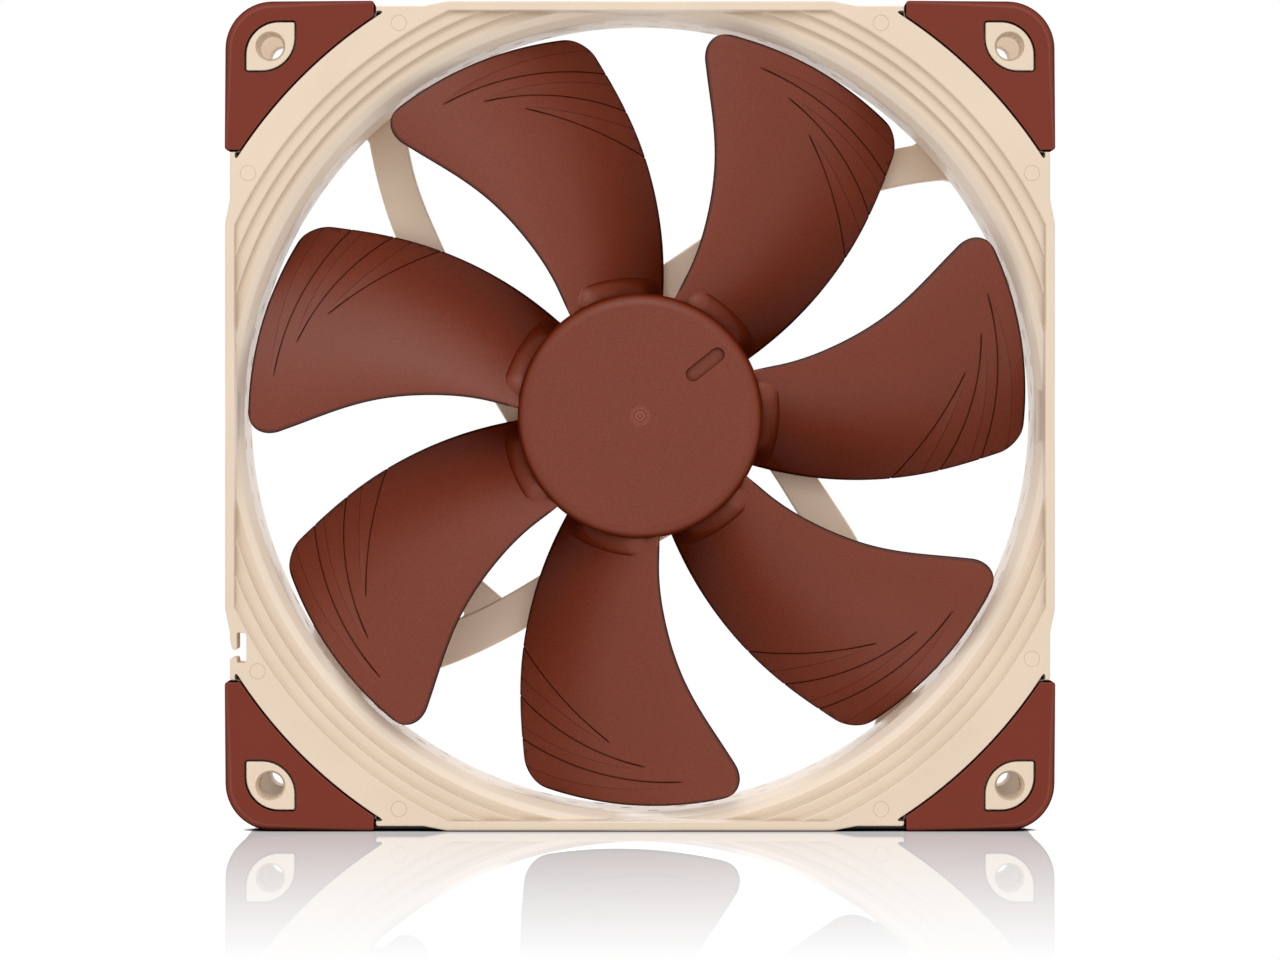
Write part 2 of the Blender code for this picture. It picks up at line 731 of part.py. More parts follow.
def make_bearing_pieces():
    shell = (
        (0, SHELL_REAR - SHELL_FLOOR),
        (SHELL_BORE, SHELL_REAR - SHELL_FLOOR),
        (SHELL_BORE, SHELL_FRONT),
        (SHELL_RADIUS, SHELL_FRONT),
        (SHELL_RADIUS, SHELL_REAR),
        (0, SHELL_REAR),
    )
    turned("bearing_shell", shell, BEARING_SIDES, "brass")
    sleeve = tube_profile(SHAFT_RADIUS + RUNNING_CLEARANCE, BEARING_RADIUS, SLEEVE_SPAN)
    turned("bearing_sleeve", sleeve, BEARING_SIDES, "sintered_bronze")
    open_bore = SHAFT_RADIUS + GAP
    seal = tube_profile(open_bore, BEARING_RADIUS, SEAL_SPAN)
    turned("bearing_seal_ring", seal, BEARING_SIDES, "black_polymer")
    centring = tube_profile(open_bore, BEARING_RADIUS, CENTRING_MAGNET_SPAN)
    turned("axial_centring_magnet", centring, BEARING_SIDES, "magnet")
    washer = tube_profile(GROOVE_RADIUS + GAP, BEARING_RADIUS, WASHER_SPAN)
    turned("shaft_retaining_washer", washer, BEARING_SIDES, "black_polymer")
    thrust = disc_profile(BEARING_RADIUS, THRUST_PAD_SPAN)
    turned("thrust_pad", thrust, BEARING_SIDES, "black_polymer")


# Stator


def pole_angle(pole):
    return 360 * pole / POLE_COUNT


def star_outline(ring, neck, reach):
    """A ring's outside with a straight arm on each pole's centre line."""
    half = neck / 2
    lean = math.degrees(math.asin(half / ring))
    quarter = [(reach, -half), (reach, half)] + arc((0, 0), ring, lean, pole_angle(1) - lean, ARC_STEPS)
    outline = []
    for pole in range(POLE_COUNT):
        outline += turn_outline(quarter, pole_angle(pole))
    return outline


def shoe_outline(pole):
    outer, inner = SHOE_HALF_ANGLE, SHOE_HALF_ANGLE - SHOE_END_LEAN
    outline = arc((0, 0), SHOE_OUTER, -outer, outer, ARC_STEPS)
    outline += arc((0, 0), SHOE_INNER, inner, -inner, ARC_STEPS)
    return turn_outline(outline, pole_angle(pole))


def make_core():
    outline = star_outline(CORE_RING, CORE_NECK, (SHOE_INNER + SHOE_OUTER) / 2)
    core = prism("stator_core", outline, CORE_SPAN, "lamination_steel")
    for pole in range(POLE_COUNT):
        join(core, prism(f"shoe_{pole + 1}_solid", shoe_outline(pole), CORE_SPAN))
    bore = disc_profile(CORE_BORE, (CORE_SPAN[0] - BEYOND, CORE_SPAN[1] + BEYOND))
    cut(core, turned("core_bore_cut", bore, SMALL))


def make_insulator(name, core_face, direction):
    """The moulding between the core and the windings, with a tab beyond each coil."""
    start = core_face + direction * GAP
    end = start + direction * INSULATOR_THICKNESS
    span = tuple(sorted((start, end)))
    outline = star_outline(INSULATOR_RING, INSULATOR_NECK, TAB_SPAN[1])
    insulator = prism(name, outline, span, "insulator_polymer")
    tab_start = start + direction * INSULATOR_THICKNESS / 2
    tab_span = tuple(sorted((tab_start, end + direction * TAB_HEIGHT)))
    half = TAB_WIDTH / 2
    tab = rectangle((TAB_SPAN[0], -half), (TAB_SPAN[1] + TAB_LIP, half))
    for pole in range(POLE_COUNT):
        turned_tab = turn_outline(tab, pole_angle(pole))
        join(insulator, prism(f"{name}_tab_{pole + 1}", turned_tab, tab_span))
    bore = disc_profile(CORE_BORE, (span[0] - BEYOND, span[1] + BEYOND))
    cut(insulator, turned(f"{name}_bore_cut", bore, SMALL))


def coil_block(name, radii, width, span, pole, material=None):
    """A block across a pole's centre line, from one radius to another."""
    outline = rectangle((radii[0], -width / 2), (radii[1], width / 2))
    return prism(name, turn_outline(outline, pole_angle(pole)), span, material)


def make_coils():
    """A winding round each pole's neck: an upright rectangular ring with a radial hole."""
    hole_radii = (COIL_RADII[0] - BEYOND, COIL_RADII[1] + BEYOND)
    for pole in range(POLE_COUNT):
        name = f"coil_{pole + 1}"
        coil = coil_block(name, COIL_RADII, COIL_OUTER_WIDTH, COIL_OUTER_SPAN, pole, "copper_wire")
        rounding = coil.modifiers.new("rounding", "BEVEL")
        rounding.width = COIL_ROUND * METRES_PER_MM
        rounding.segments = COIL_ROUND_STEPS
        cut(coil, coil_block(f"{name}_hole_cut", hole_radii, COIL_INNER_WIDTH, COIL_INNER_SPAN, pole))


def winding_pin_places():
    return [face_point(PIN_PLACE, PIN_ANGLE + pole_angle(pole)) for pole in range(POLE_COUNT)]


def make_winding_pins():
    for number, place in enumerate(winding_pin_places(), 1):
        bm = bmesh.new()
        add_turned(bm, disc_profile(PIN_RADIUS, PIN_SPAN), PIN_SIDES, place)
        make_object(f"winding_pin_{number}", bm, "steel")


def make_circuit_board():
    profile = tube_profile(BOARD_BORE, BOARD_RADIUS, BOARD_SPAN)
    board = turned("circuit_board", profile, ROUND, "circuit_board")
    bm = bmesh.new()
    hole = disc_profile(PIN_HOLE, (BOARD_SPAN[0] - BEYOND, BOARD_SPAN[1] + BEYOND))
    for place in winding_pin_places():
        add_turned(bm, hole, PIN_SIDES, place)
    cut(board, make_object("pin_hole_cut", bm, None))
    for name, (x, z), width, height, thickness in BOARD_PIECES:
        outline = rectangle((x - width / 2, z - height / 2), (x + width / 2, z + height / 2))
        colour = "ceramic" if name.startswith("capacitor") else "chip_epoxy"
        prism(name, outline, (CHIP_BODY_START, CHIP_BODY_START + thickness), colour)
    x, z = HALL_PLACE
    half = HALL_SIZE / 2
    prism("hall_sensor", rectangle((x - half, z - half), (x + half, z + half)), HALL_SPAN, "chip_epoxy")


def make_label():
    start = REAR - LABEL_RECESS + GAP
    disc = disc_profile(LABEL_RECESS_RADIUS - LABEL_MARGIN, (start, start + LABEL_THICKNESS))
    turned("rear_label", disc, ROUND, "label_film")


def main():
    clear_scene()
    make_frame()
    make_pads()
    make_impeller()
    make_rotor_pieces()
    make_bearing_pieces()
    make_core()
    make_insulator("front_insulator", CORE_SPAN[0], -1)
    make_insulator("rear_insulator", CORE_SPAN[1], 1)
    make_coils()
    make_winding_pins()
    make_circuit_board()
    make_label()


main()
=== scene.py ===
"""The looks of the case fan: its frame, impeller and soft pads in fine detail, materials, floor and light.

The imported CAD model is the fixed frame. Shapes are worked out in millimetres and become metres as pieces.
The rotor axis is Y, air enters at the -Y face, and +Z is up. A point of the fan's face is (x, z), and y
is its depth. A face angle runs from +X towards +Z, in degrees.
"""

import json
import math

import bmesh
import bpy
import numpy as np
from mathutils import Matrix, Vector


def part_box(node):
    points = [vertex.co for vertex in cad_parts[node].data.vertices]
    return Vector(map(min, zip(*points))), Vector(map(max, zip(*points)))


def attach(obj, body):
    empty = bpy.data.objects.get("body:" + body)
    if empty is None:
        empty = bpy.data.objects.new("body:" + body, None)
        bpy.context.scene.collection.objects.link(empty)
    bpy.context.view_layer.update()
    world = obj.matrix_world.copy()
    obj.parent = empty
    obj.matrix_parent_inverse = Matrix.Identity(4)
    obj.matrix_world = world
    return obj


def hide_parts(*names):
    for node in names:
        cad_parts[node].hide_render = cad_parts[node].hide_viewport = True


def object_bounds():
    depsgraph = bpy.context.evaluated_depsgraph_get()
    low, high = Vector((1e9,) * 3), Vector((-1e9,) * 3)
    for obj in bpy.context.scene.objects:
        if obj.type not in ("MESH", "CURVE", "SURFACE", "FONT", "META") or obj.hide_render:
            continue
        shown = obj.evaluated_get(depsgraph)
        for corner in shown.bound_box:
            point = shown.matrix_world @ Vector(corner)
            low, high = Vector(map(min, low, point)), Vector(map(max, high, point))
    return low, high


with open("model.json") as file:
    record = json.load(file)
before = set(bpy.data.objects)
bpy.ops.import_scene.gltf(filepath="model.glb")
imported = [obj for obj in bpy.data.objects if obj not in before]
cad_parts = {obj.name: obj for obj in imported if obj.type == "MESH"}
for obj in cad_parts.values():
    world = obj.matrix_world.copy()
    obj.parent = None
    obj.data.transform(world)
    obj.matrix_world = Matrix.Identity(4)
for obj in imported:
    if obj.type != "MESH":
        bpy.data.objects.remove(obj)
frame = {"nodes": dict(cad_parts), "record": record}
cad_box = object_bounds()

MM = 0.001
GAP = 0.3  # between pieces that touch on the real fan
SKIN = 0.01  # how far a cutter's mouth stands off the face that it opens
BEYOND = 2.0  # how far a cutter runs past what it cuts

# Driving sizes, from the CAD frame
FRAME_LOW, FRAME_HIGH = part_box("frame")
FRONT = FRAME_LOW.y / MM
REAR = FRAME_HIGH.y / MM
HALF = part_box("pad_front_top_right")[1].x / MM
MIDDLE_EDGE = FRAME_HIGH.x / MM
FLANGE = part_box("pad_front_top_right")[1].y / MM - FRONT

# Frame outline
LEG_EDGE = 69.1
LEG_END = 44.8
RAMP_OUTER = 36.5
RAMP_INNER = 32.5
RAMP_ROUND = 3.0
PLATE_EDGE = 68.0
PLATE_ROUND = 6.0
TONGUE_INNER = 68.25
WALL_OUTER_RADIUS = 70.3
BORE_SQUARE = 68.3
THROAT_RADIUS = 67.4
RING_EDGE_RADIUS = 80.6
# Each inlet step: how far behind the front face it starts, and its radius
INLET_STEPS = ((0.0, 75.4), (1.0, 73.3), (2.1, 71.2), (3.3, 69.7))
INLET_CURVE = ((4.6, 68.5), (7.0, THROAT_RADIUS))
OUTLET_FLARE = ((6.5, THROAT_RADIUS), (3.2, 68.4))
OUTLET_RADIUS = 70.9
STEP_EDGE_ROUND = 0.45
STEP_FOOT_ROUND = 0.3
EDGE_ROUND = 0.3
CORNER_ROUND = 0.45  # more than EDGE_ROUND, so that a corner keeps its shape along a rounded edge

# Screw corners
HOLE_SPACING = 124.5
HOLE_RADIUS = 2.15
HOLE_SEAT_RADIUS = 2.5
HOLE_SEAT_DEPTH = 1.1
HOLE_EDGE_ROUND = 0.15
BOSS_SIDE = 8.1
BOSS_ROUND = 5.5
BOSS_TIP_ROUND = 0.3
BOSS_EDGE_ROUND = 0.2
BOSS_GAP = 0.28
POCKET_EDGE_ROUND = 0.15
PAD_END_MARGIN = 0.1
PAD_END_DEPTH = 4.2
PAD_ARC_RADIUS = 80.88
PAD_CORNER_RADIUS = 8.0
PAD_TOP = 1.4
PAD_WALL = 1.7
PAD_EDGE_ROUND = 1.6
PAD_ARC_EDGE_ROUND = 0.25
PAD_LEG_ROUND = 0.6

# Cable notch: what is cut from the left side of the front flange, as (x, z, corner radius)
NOTCH = (
    (-72.0, -32.0, 0),
    (-70.0, -33.0, 0),
    (-68.7, -39.4, 0.55),
    (-67.9, -39.4, 0.3),
    (-67.9, -36.5, 0.3),
    (-66.3, -36.5, 0.6),
    (-66.3, -41.6, 0.5),
    (-67.9, -41.6, 0.3),
    (-67.9, -40.7, 0.3),
    (-69.15, -40.7, 0.6),
    (-69.15, -42.5, 0),
    (-72.0, -42.5, 0),
)

# The open recess behind it, in the rear flange
NOTCH_RECESS = (
    (-72.0, -37.4, 0),
    (-68.3, -37.4, 0.6),
    (-68.3, -43.3, 0.6),
    (-72.0, -43.3, 0),
)
NOTCH_DEPTH = 7.0
NOTCH_EDGE_ROUND = 0.2

# Small round marks left by the mould's ejector pins, on the front face
MARK_RADIUS = 1.3
MARK_LINE = 0.14
MARK_DEPTH = 0.07
MARKS = (
    (66.0, 40.9),
    (40.6, 66.2),
    (-40.6, 66.2),
    (-66.0, 40.9),
    (-64.4, -43.0),
    (-40.6, -66.2),
    (40.6, -66.2),
    (66.0, -40.9),
)

# Shallow dents in rows round the duct wall
DENT_ROWS = (8.6, 12.6, 16.6)
DENTS_PER_ROW = 45
DENT_LENGTH = 2.2
DENT_WIDTH = 1.4
DENT_DEPTH = 0.2

# Support arms and motor base, as in the CAD
ARM_COUNT = 4
ARM_FRONT = 9.2
ARM_REAR = 12.3
ARM_ROUND = 0.35
ARM_LEFT_EDGE = ((20.2, 106.0), (25.4, 84.8), (32.7, 71.0), (43.5, 60.5), (57.7, 50.6), (72.6, 41.4))
ARM_RIGHT_EDGE = ((20.2, 76.0), (24.8, 67.1), (32.0, 58.6), (44.9, 49.7), (57.9, 43.0), (72.6, 34.9))
ARM_WALL_FILLET = 1.6
ARM_BASE_FILLET = 2.2
CABLE_ARM = 2
CABLE_RIB_START = 40.0
CABLE_RIB_WIDTH = 5.8
CABLE_RIB_SPAN = (9.5, 12.0)
RIB_OVERLAP = 1.0
CABLE_SLOT = (45.8, 63.0)
CABLE_SLOT_WIDTH = 3.0
BASE_RADIUS = 21.4
BASE_RIM = 1.3
BASE_FRONT = 8.0
BASE_FLOOR = 10.9
LABEL_RECESS_RADIUS = 17.0
LABEL_RECESS = 0.6
TUBE_RADIUS = 5.3
TUBE_BORE = 4.5
TUBE_FRONT = -5.0
TUBE_BOTTOM = 11.3
WIRE_NOTCH_WIDTH = 5.0
WIRE_NOTCH_TURN = 12.0

# Hub
HUB_RADIUS = 20.75
HUB_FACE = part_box("impeller")[0].y / MM
HUB_REAR = 7.2
HUB_TOP = 1.5
HUB_WALL = 1.4
HUB_EDGE = 2.2
PILL_PLACE = (11.0, 8.7)
PILL_TURN = 38.5
PILL_LENGTH = 7.6
PILL_WIDTH = 2.4
PILL_DEPTH = 0.75
GATE_RADIUS = 1.4
GATE_LINE = 0.16
GATE_DEPTH = 0.1
GATE_NUB = 0.75
GATE_NUB_HEIGHT = 0.3

# Blades: both edges of the first blade as (radius, angle), before its tip corners are rounded
BLADE_COUNT = 7
BLADE_ROOT = 20.1
BLADE_TIP = 66.3
LEADING_EDGE = ((20.0, 22.3), (27.0, 19.8), (34.0, 19.8), (44.0, 22.0), (57.6, 27.1), (66.3, 29.7))
TRAILING_EDGE = ((20.0, -24.3), (31.2, -19.9), (45.1, -13.9), (58.9, -7.5), (66.3, -4.3))
LEADING_CORNER = 5.4
TRAILING_CORNER = 3.6
LEADING_DEPTH = 2.5
TRAILING_DEPTH = 18.4
ROOT_CAMBER = 1.25
TIP_CAMBER = 2.1
ROOT_THICKNESS = 2.4
TIP_THICKNESS = 1.5
EDGE_THICKNESS = 0.8
TIP_ROUND = 0.35
LOBE_REACH = 3.0
LOBE_HEIGHT = 1.4
LOBE_START = 0.095
LOBE_END_LENGTH = 0.14
LOBE_FULLNESS = 0.75
LOBE_FADE = (0.7, 1.0)
REAR_FILLET = 1.5
REAR_FILLET_FADE = 0.15  # the share of the chord over which the rear fillet grows from either edge
# The three channels on each blade's front: the step's line as (face angle, radius) points
CHANNELS = (
    ((19.5, 62.2), (5.9, 61.2), (-8.2, 59.2)),
    ((13.6, 59.4), (3.6, 57.0), (-11.2, 52.3)),
    ((7.6, 55.7), (0.15, 51.5), (-14.6, 44.4)),
)
CHANNEL_DEPTH = 0.25
CHANNEL_OUTER_DEPTH = 0.09
CHANNEL_LINE_WIDTH = 0.22
CHANNEL_LINE_DEPTH = 0.42
CHANNEL_LINE_SLOPE = 0.06
CHANNEL_START_WIDTH = 0.6
CHANNEL_END_WIDTH = 4.6
CHANNEL_OVERRUN = 0.12
CHANNEL_LID = 1.0
CHANNEL_LINE_FADE = (-0.02, 0.06)  # the shares of the length between which the line deepens
CHANNEL_FADE = (-0.05, 0.25)
CHANNEL_TIP_MARGIN = 0.5

# Studio
STUDIO_LIGHT = 0.86
FLOOR_SIDE = 6.0
FLOOR_GLOSS = 0.55
FLOOR_FADE = 0.155  # in metres, where the floor no longer mirrors
CONTACT_REACH = 2.5
CONTACT_SHADOW = (0.3, 0.62)  # the open share of the sky where the floor is darkest and lightest
UNDER_WIDTH = 62.0
UNDER_SOFT_SIDE = 3.0
UNDER_SOFT_END = 1.5
UNDER_LIGHT = 0.05  # how much light there is on the floor under the fan
MIRROR_TINT = (1.0, 0.97, 0.98)

# Camera: lens and sensor in millimetres, distance from the rotor in metres
LENS = 100.2
SENSOR_WIDTH = 36.0
VIEW_SHIFT = -0.05
CAMERA_DISTANCE = 0.6125

# Materials
# Colours by how squarely the surface faces the front or rear, 0 to 1: painted shade, darker as a surface
# turns sideways.
# The pads are redder along their wide rounded edges, with a painted highlight as a paler line where these
# start, and the impeller has painted shade along its edges.
BROWN_PAINTED_SHADE_COLOURS = (
    (0.0, (0.07, 0.009, 0.003)),
    (0.45, (0.09, 0.013, 0.004)),
    (0.75, (0.16, 0.025, 0.008)),
    (0.93, (0.176, 0.029, 0.009)),
)
# the rubber's dark sides are painted shade and its paler line a painted highlight, beside a redder band
# along the rounded edges
RUBBER_PAINTED_LIGHT_COLOURS = (
    (0.0, (0.02, 0.006, 0.004)),
    (0.5, (0.12, 0.023, 0.013)),
    (0.88, (0.205, 0.035, 0.019)),
    (0.955, (0.215, 0.056, 0.032)),
    (0.99, (0.18, 0.027, 0.011)),
)
DUCT_POLISH_END = 69.7
DUCT_POLISH_SOFT = 0.5
DUCT_POLISH = 0.7
# painted light: the wall is coloured paler where the backdrop's light gleams along it
DUCT_PAINTED_GLEAM = 0.8
DUCT_GLEAM_COLOUR = (0.98, 0.84, 0.69)
SIDE_SPECULAR = 0.0
SOFT_EDGE = 0.22
# how far the painted shade in corners and gaps reaches
CREVICE_SHADE_REACH = 1.2
GATE_PALER = 0.35
GATE_COLOUR = (0.46, 0.15, 0.1)
BLADE_EDGE_SHADE_REACH = (0.3, 0.62)  # how far in from a blade's edge its line of painted shade starts and stops fading
BLADE_EDGE_SHADE = 0.3
NOISE_RANGE = (0.3, 0.7)  # where nearly all values of a noise pattern lie
CLOUD_SIZE = 14.0
CLOUD_DEPTH = 0.025
PLASTIC_SPREAD = 0.05  # how much the roughness varies
METAL_SPREAD = 0.08
METAL_RELIEF = 0.01
EDGE_TURN = (0.75, 0.99)  # cosine between soft and true normals, from a full edge to none
WALL_TURN = (0.75, 0.9)  # how face-on a surface is, from full duct wall to none
GLOSS_TURN = (0.6, 0.88)  # how face-on a surface is where its gloss starts and stops growing
CREVICE_SHADE_RANGE = (0.25, 0.85)  # the open share of the surroundings where the painted shade is full and where it ends
WAVE_PITCH = 0.314  # the spacing of a wave pattern's bands at scale 1
TRACK_PITCH = 2.5
TRACK_HEIGHT = 0.03

# How finely round shapes are divided
DUCT_SIDES = 360
HUB_SIDES = 240
HOLE_SIDES = 64
FILLET_STEPS = 5
ARM_STEPS = 56
PAD_ARC_STEPS = 72
CHORD_STEPS = 64
COLLAR_SECTIONS = 12
SPAN_SECTIONS = 44
TIP_CORNER_SECTIONS = 18
TIP_EDGE_TURNS = (25, 50, 70, 84)
BLADE_EDGE_TURNS = (30, 60, 90, 120, 150)
CHANNEL_STEPS = 30
CHANNEL_WIDTH_STEPS = 6
SURFACE_TRIES = 6
SHARP_ANGLE = 32.0


# Shapes: each is an array of points, and faces as tuples of point numbers


def face_point(radius, angle):
    turn = math.radians(angle)
    return np.array((radius * math.cos(turn), radius * math.sin(turn)))


def arc(centre, radius, start, end, steps):
    turns = np.linspace(start, end, steps + 1)
    return [np.array(centre) + face_point(radius, turn) for turn in turns]


def rounded(corners, steps=FILLET_STEPS):
    """A closed outline from (x, z, radius) corners, each turned into an arc of its radius."""
    outline = []
    for k, (x, z, radius) in enumerate(corners):
        here = np.array((x, z), float)
        if not radius:
            outline.append(here)
            continue
        before = np.array(corners[k - 1][:2]) - here
        after = np.array(corners[(k + 1) % len(corners)][:2]) - here
        before = before / np.linalg.norm(before)
        after = after / np.linalg.norm(after)
        half = math.acos(np.clip(before @ after, -1, 1)) / 2
        centre = here + (before + after) / np.linalg.norm(before + after) * radius / math.sin(half)
        reach = radius / math.tan(half)
        start, end = here + before * reach - centre, here + after * reach - centre
        sweep = math.pi - 2 * half
        for step in range(steps + 1):
            share = step / steps
            start_weight = math.sin((1 - share) * sweep) / math.sin(sweep)
            end_weight = math.sin(share * sweep) / math.sin(sweep)
            outline.append(centre + start * start_weight + end * end_weight)
    return [point for k, point in enumerate(outline) if np.linalg.norm(point - outline[k - 1]) > 1e-6]


def rectangle(low, high, radii=(0, 0, 0, 0), steps=FILLET_STEPS):
    """An outline between two opposite corners, with each corner's radius, from the low one round."""
    places = (low, (high[0], low[1]), high, (low[0], high[1]))
    return rounded([(*place, radius) for place, radius in zip(places, radii)], steps)


def turn_outline(outline, angle):
    cosine, sine = math.cos(math.radians(angle)), math.sin(math.radians(angle))
    return np.array(outline) @ np.array(((cosine, sine), (-sine, cosine)))


def inset(outline, amount):
    """The outline moved inwards by an amount, one for all or one for each point."""
    before = outline - np.roll(outline, 1, axis=0)
    after = np.roll(outline, -1, axis=0) - outline
    area = np.sum(outline[:, 0] * after[:, 1] - outline[:, 1] * after[:, 0])
    inwards = 1 if area > 0 else -1
    normals = []
    for side in (before, after):
        side = side / np.linalg.norm(side, axis=1)[:, None]
        normals.append(np.column_stack((-side[:, 1], side[:, 0])) * inwards)
    spread = 1 + np.sum(normals[0] * normals[1], axis=1)
    mitre = (normals[0] + normals[1]) / np.maximum(spread, 0.2)[:, None]
    return outline + mitre * np.broadcast_to(amount, len(outline))[:, None]


def layered(outline, layers):
    """A solid with the outline drawn in by each layer's amount at that layer's depth."""
    outline = np.array(outline, float)
    count = len(outline)
    rings = []
    for depth, amount in layers:
        flat = inset(outline, amount)
        depths = np.broadcast_to(depth, count)
        rings.append(np.column_stack((flat[:, 0], depths, flat[:, 1])))
    return lofted(rings, [tuple(range(count))])


def lofted(rings, end_faces):
    """A solid skinned over closed rings of equal count. end_faces close the first and last ring."""
    count = len(rings[0])
    faces = []
    for start in range(0, (len(rings) - 1) * count, count):
        for k in range(count):
            after = (k + 1) % count
            faces.append((start + k, start + after, start + count + after, start + count + k))
    last = (len(rings) - 1) * count
    for face in end_faces:
        faces.append(face)
        faces.append(tuple(last + k for k in face))
    return np.concatenate(rings), faces


def edge_layers(span, front, rear):
    """Layers that round a solid's two end edges. A negative radius flares them outwards."""
    layers = []
    for radius, face, sign in ((front, span[0], 1), (rear, span[1], -1)):
        end = []
        for step in range(FILLET_STEPS + 1):
            turn = math.radians(90 * step / FILLET_STEPS)
            depth = face + sign * np.abs(radius) * (1 - math.cos(turn))
            end.append((depth, radius * (1 - math.sin(turn))))
        layers += end[::sign]
    return layers


def pocket_layers(mouth, floor, flare):
    """Layers of a cutter that opens a face at the mouth, whose edge it rounds, down to its floor."""
    sign = 1 if floor > mouth else -1
    start = mouth - sign * SKIN
    layers = [(mouth - sign * BEYOND, -flare)]
    for step in range(FILLET_STEPS + 1):
        turn = math.radians(90 * step / FILLET_STEPS)
        layers.append((start + sign * flare * (1 - math.cos(turn)), -flare * (1 - math.sin(turn))))
    layers.append((floor, 0.0))
    return layers


def through_layers(flare):
    """Layers of a cutter that goes through the whole fan and rounds both mouths."""
    front = pocket_layers(FRONT, 0.0, flare)[:-1]
    rear = pocket_layers(REAR, 0.0, flare)[:-1]
    return front + rear[::-1]


def turned(profile, sides, centre=(0.0, 0.0)):
    """A turned solid. The profile is a closed run of (radius, y) points."""
    circle = np.array([face_point(1.0, 360 * side / sides) for side in range(sides)])
    points, rings, faces = [], [], []
    for radius, y in profile:
        start = len(points)
        if radius == 0:
            points.append((centre[0], y, centre[1]))
            rings.append([start] * sides)
            continue
        points += [(centre[0] + radius * x, y, centre[1] + radius * z) for x, z in circle]
        rings.append(list(range(start, start + sides)))
    for ring, following in zip(rings, rings[1:] + rings[:1]):
        for side in range(sides):
            after = (side + 1) % sides
            corners = dict.fromkeys((ring[side], ring[after], following[after], following[side]))
            if len(corners) > 2:
                faces.append(tuple(corners))
    return np.array(points, float), faces


def mirrored(shape, sign_x, sign_y, sign_z):
    points, faces = shape
    return points * np.array((sign_x, sign_y, sign_z)), faces


def spun(shape, angle):
    """The shape turned about the rotor axis."""
    points, faces = shape
    flat = turn_outline(points[:, (0, 2)], angle)
    return np.column_stack((flat[:, 0], points[:, 1], flat[:, 1])), faces


def solid(name, *shapes):
    """One object, in millimetres, of closed shapes that don't touch each other."""
    points, faces, start = [], [], 0
    for shape_points, shape_faces in shapes:
        points.append(shape_points)
        faces += [tuple(start + k for k in face) for face in shape_faces]
        start += len(shape_points)
    mesh = bpy.data.meshes.new(name)
    mesh.from_pydata(np.concatenate(points).tolist(), [], faces)
    bm = bmesh.new()
    bm.from_mesh(mesh)
    bmesh.ops.recalc_face_normals(bm, faces=bm.faces)
    bm.to_mesh(mesh)
    bm.free()
    made = bpy.data.objects.new(name, mesh)
    bpy.context.scene.collection.objects.link(made)
    return made


def combine(target, operation, tool):
    """One exact Boolean, applied at once. The tool is used up."""
    modifier = target.modifiers.new(operation, "BOOLEAN")
    modifier.operation = operation
    modifier.solver = "EXACT"
    modifier.object = tool
    graph = bpy.context.evaluated_depsgraph_get()
    result = bpy.data.meshes.new_from_object(target.evaluated_get(graph))
    target.modifiers.clear()
    target.data = result
    bpy.data.objects.remove(tool)
    return target


def cut(target, tool):
    return combine(target, "DIFFERENCE", tool)


def join(target, tool):
    return combine(target, "UNION", tool)


def taken_apart(pattern):
    """The points and faces of a pattern that is repeated. The pattern is used up."""
    points = np.array([vert.co for vert in pattern.data.vertices])
    faces = [tuple(face.vertices) for face in pattern.data.polygons]
    bpy.data.objects.remove(pattern)
    return points, faces


def finish_piece(piece, material, slot, body, *nodes):
    """Turns a piece into metres and gives it its shading, material and body, and hides the CAD nodes it
    stands for.
    """
    piece.data.transform(Matrix.Scale(MM, 4))
    piece.data.materials.clear()
    piece.data.materials.append(material)
    piece.data.shade_smooth()
    piece.data.set_sharp_from_angle(angle=math.radians(SHARP_ANGLE))
    normals = piece.modifiers.new("normals", "WEIGHTED_NORMAL")
    normals.keep_sharp = True
    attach(piece, body)
    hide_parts(*nodes)


def smooth_value(points, place):
    """The value, at one place, of a smooth curve through (place, value) points."""
    last = len(points) - 1
    span = next((k for k in range(last) if place <= points[k + 1][0]), last - 1)
    (place_a, value_a), (place_b, value_b) = points[span], points[span + 1]
    before, after = points[max(span - 1, 0)], points[min(span + 2, last)]
    width = place_b - place_a
    slope_a = (value_b - before[1]) / (place_b - before[0]) * width
    slope_b = (after[1] - value_a) / (after[0] - place_a) * width
    t = (place - place_a) / width
    rise = t * t * (3 - 2 * t)
    bend = slope_a * t * (1 - t) ** 2 - slope_b * t * t * (1 - t)
    return value_a * (1 - rise) + value_b * rise + bend


def smooth_step(start, end, value):
    share = np.clip((value - start) / (end - start), 0.0, 1.0)
    return share * share * (3 - 2 * share)


# Frame


def corner_signs():
    """Every screw corner as its name and the signs of its x and z."""
    for level, sign_z in (("top", 1), ("bottom", -1)):
        for side, sign_x in (("left", -1), ("right", 1)):
            yield f"{level}_{side}", sign_x, sign_z


def eight_corners(shape):
    """A shape made at the front, +x, +z corner, repeated at every corner of both faces."""
    return [
        mirrored(shape, sign_x, sign_y, sign_z)
        for _, sign_x, sign_z in corner_signs()
        for sign_y in (1, -1)
    ]


def frame_outline():
    leg = LEG_END - GAP
    quarter = (
        (MIDDLE_EDGE, RAMP_INNER, RAMP_ROUND),
        (LEG_EDGE, RAMP_OUTER, RAMP_ROUND),
        (LEG_EDGE, leg, CORNER_ROUND),
        (PLATE_EDGE, leg, CORNER_ROUND),
        (PLATE_EDGE, PLATE_EDGE, PLATE_ROUND),
        (leg, PLATE_EDGE, CORNER_ROUND),
        (leg, LEG_EDGE, CORNER_ROUND),
        (RAMP_OUTER, LEG_EDGE, RAMP_ROUND),
        (RAMP_INNER, MIDDLE_EDGE, RAMP_ROUND),
    )
    corners = []
    for turn in range(4):
        for (x, z), (_, _, radius) in zip(turn_outline([c[:2] for c in quarter], 90 * turn), quarter):
            corners.append((x, z, radius))
    return rounded(corners)


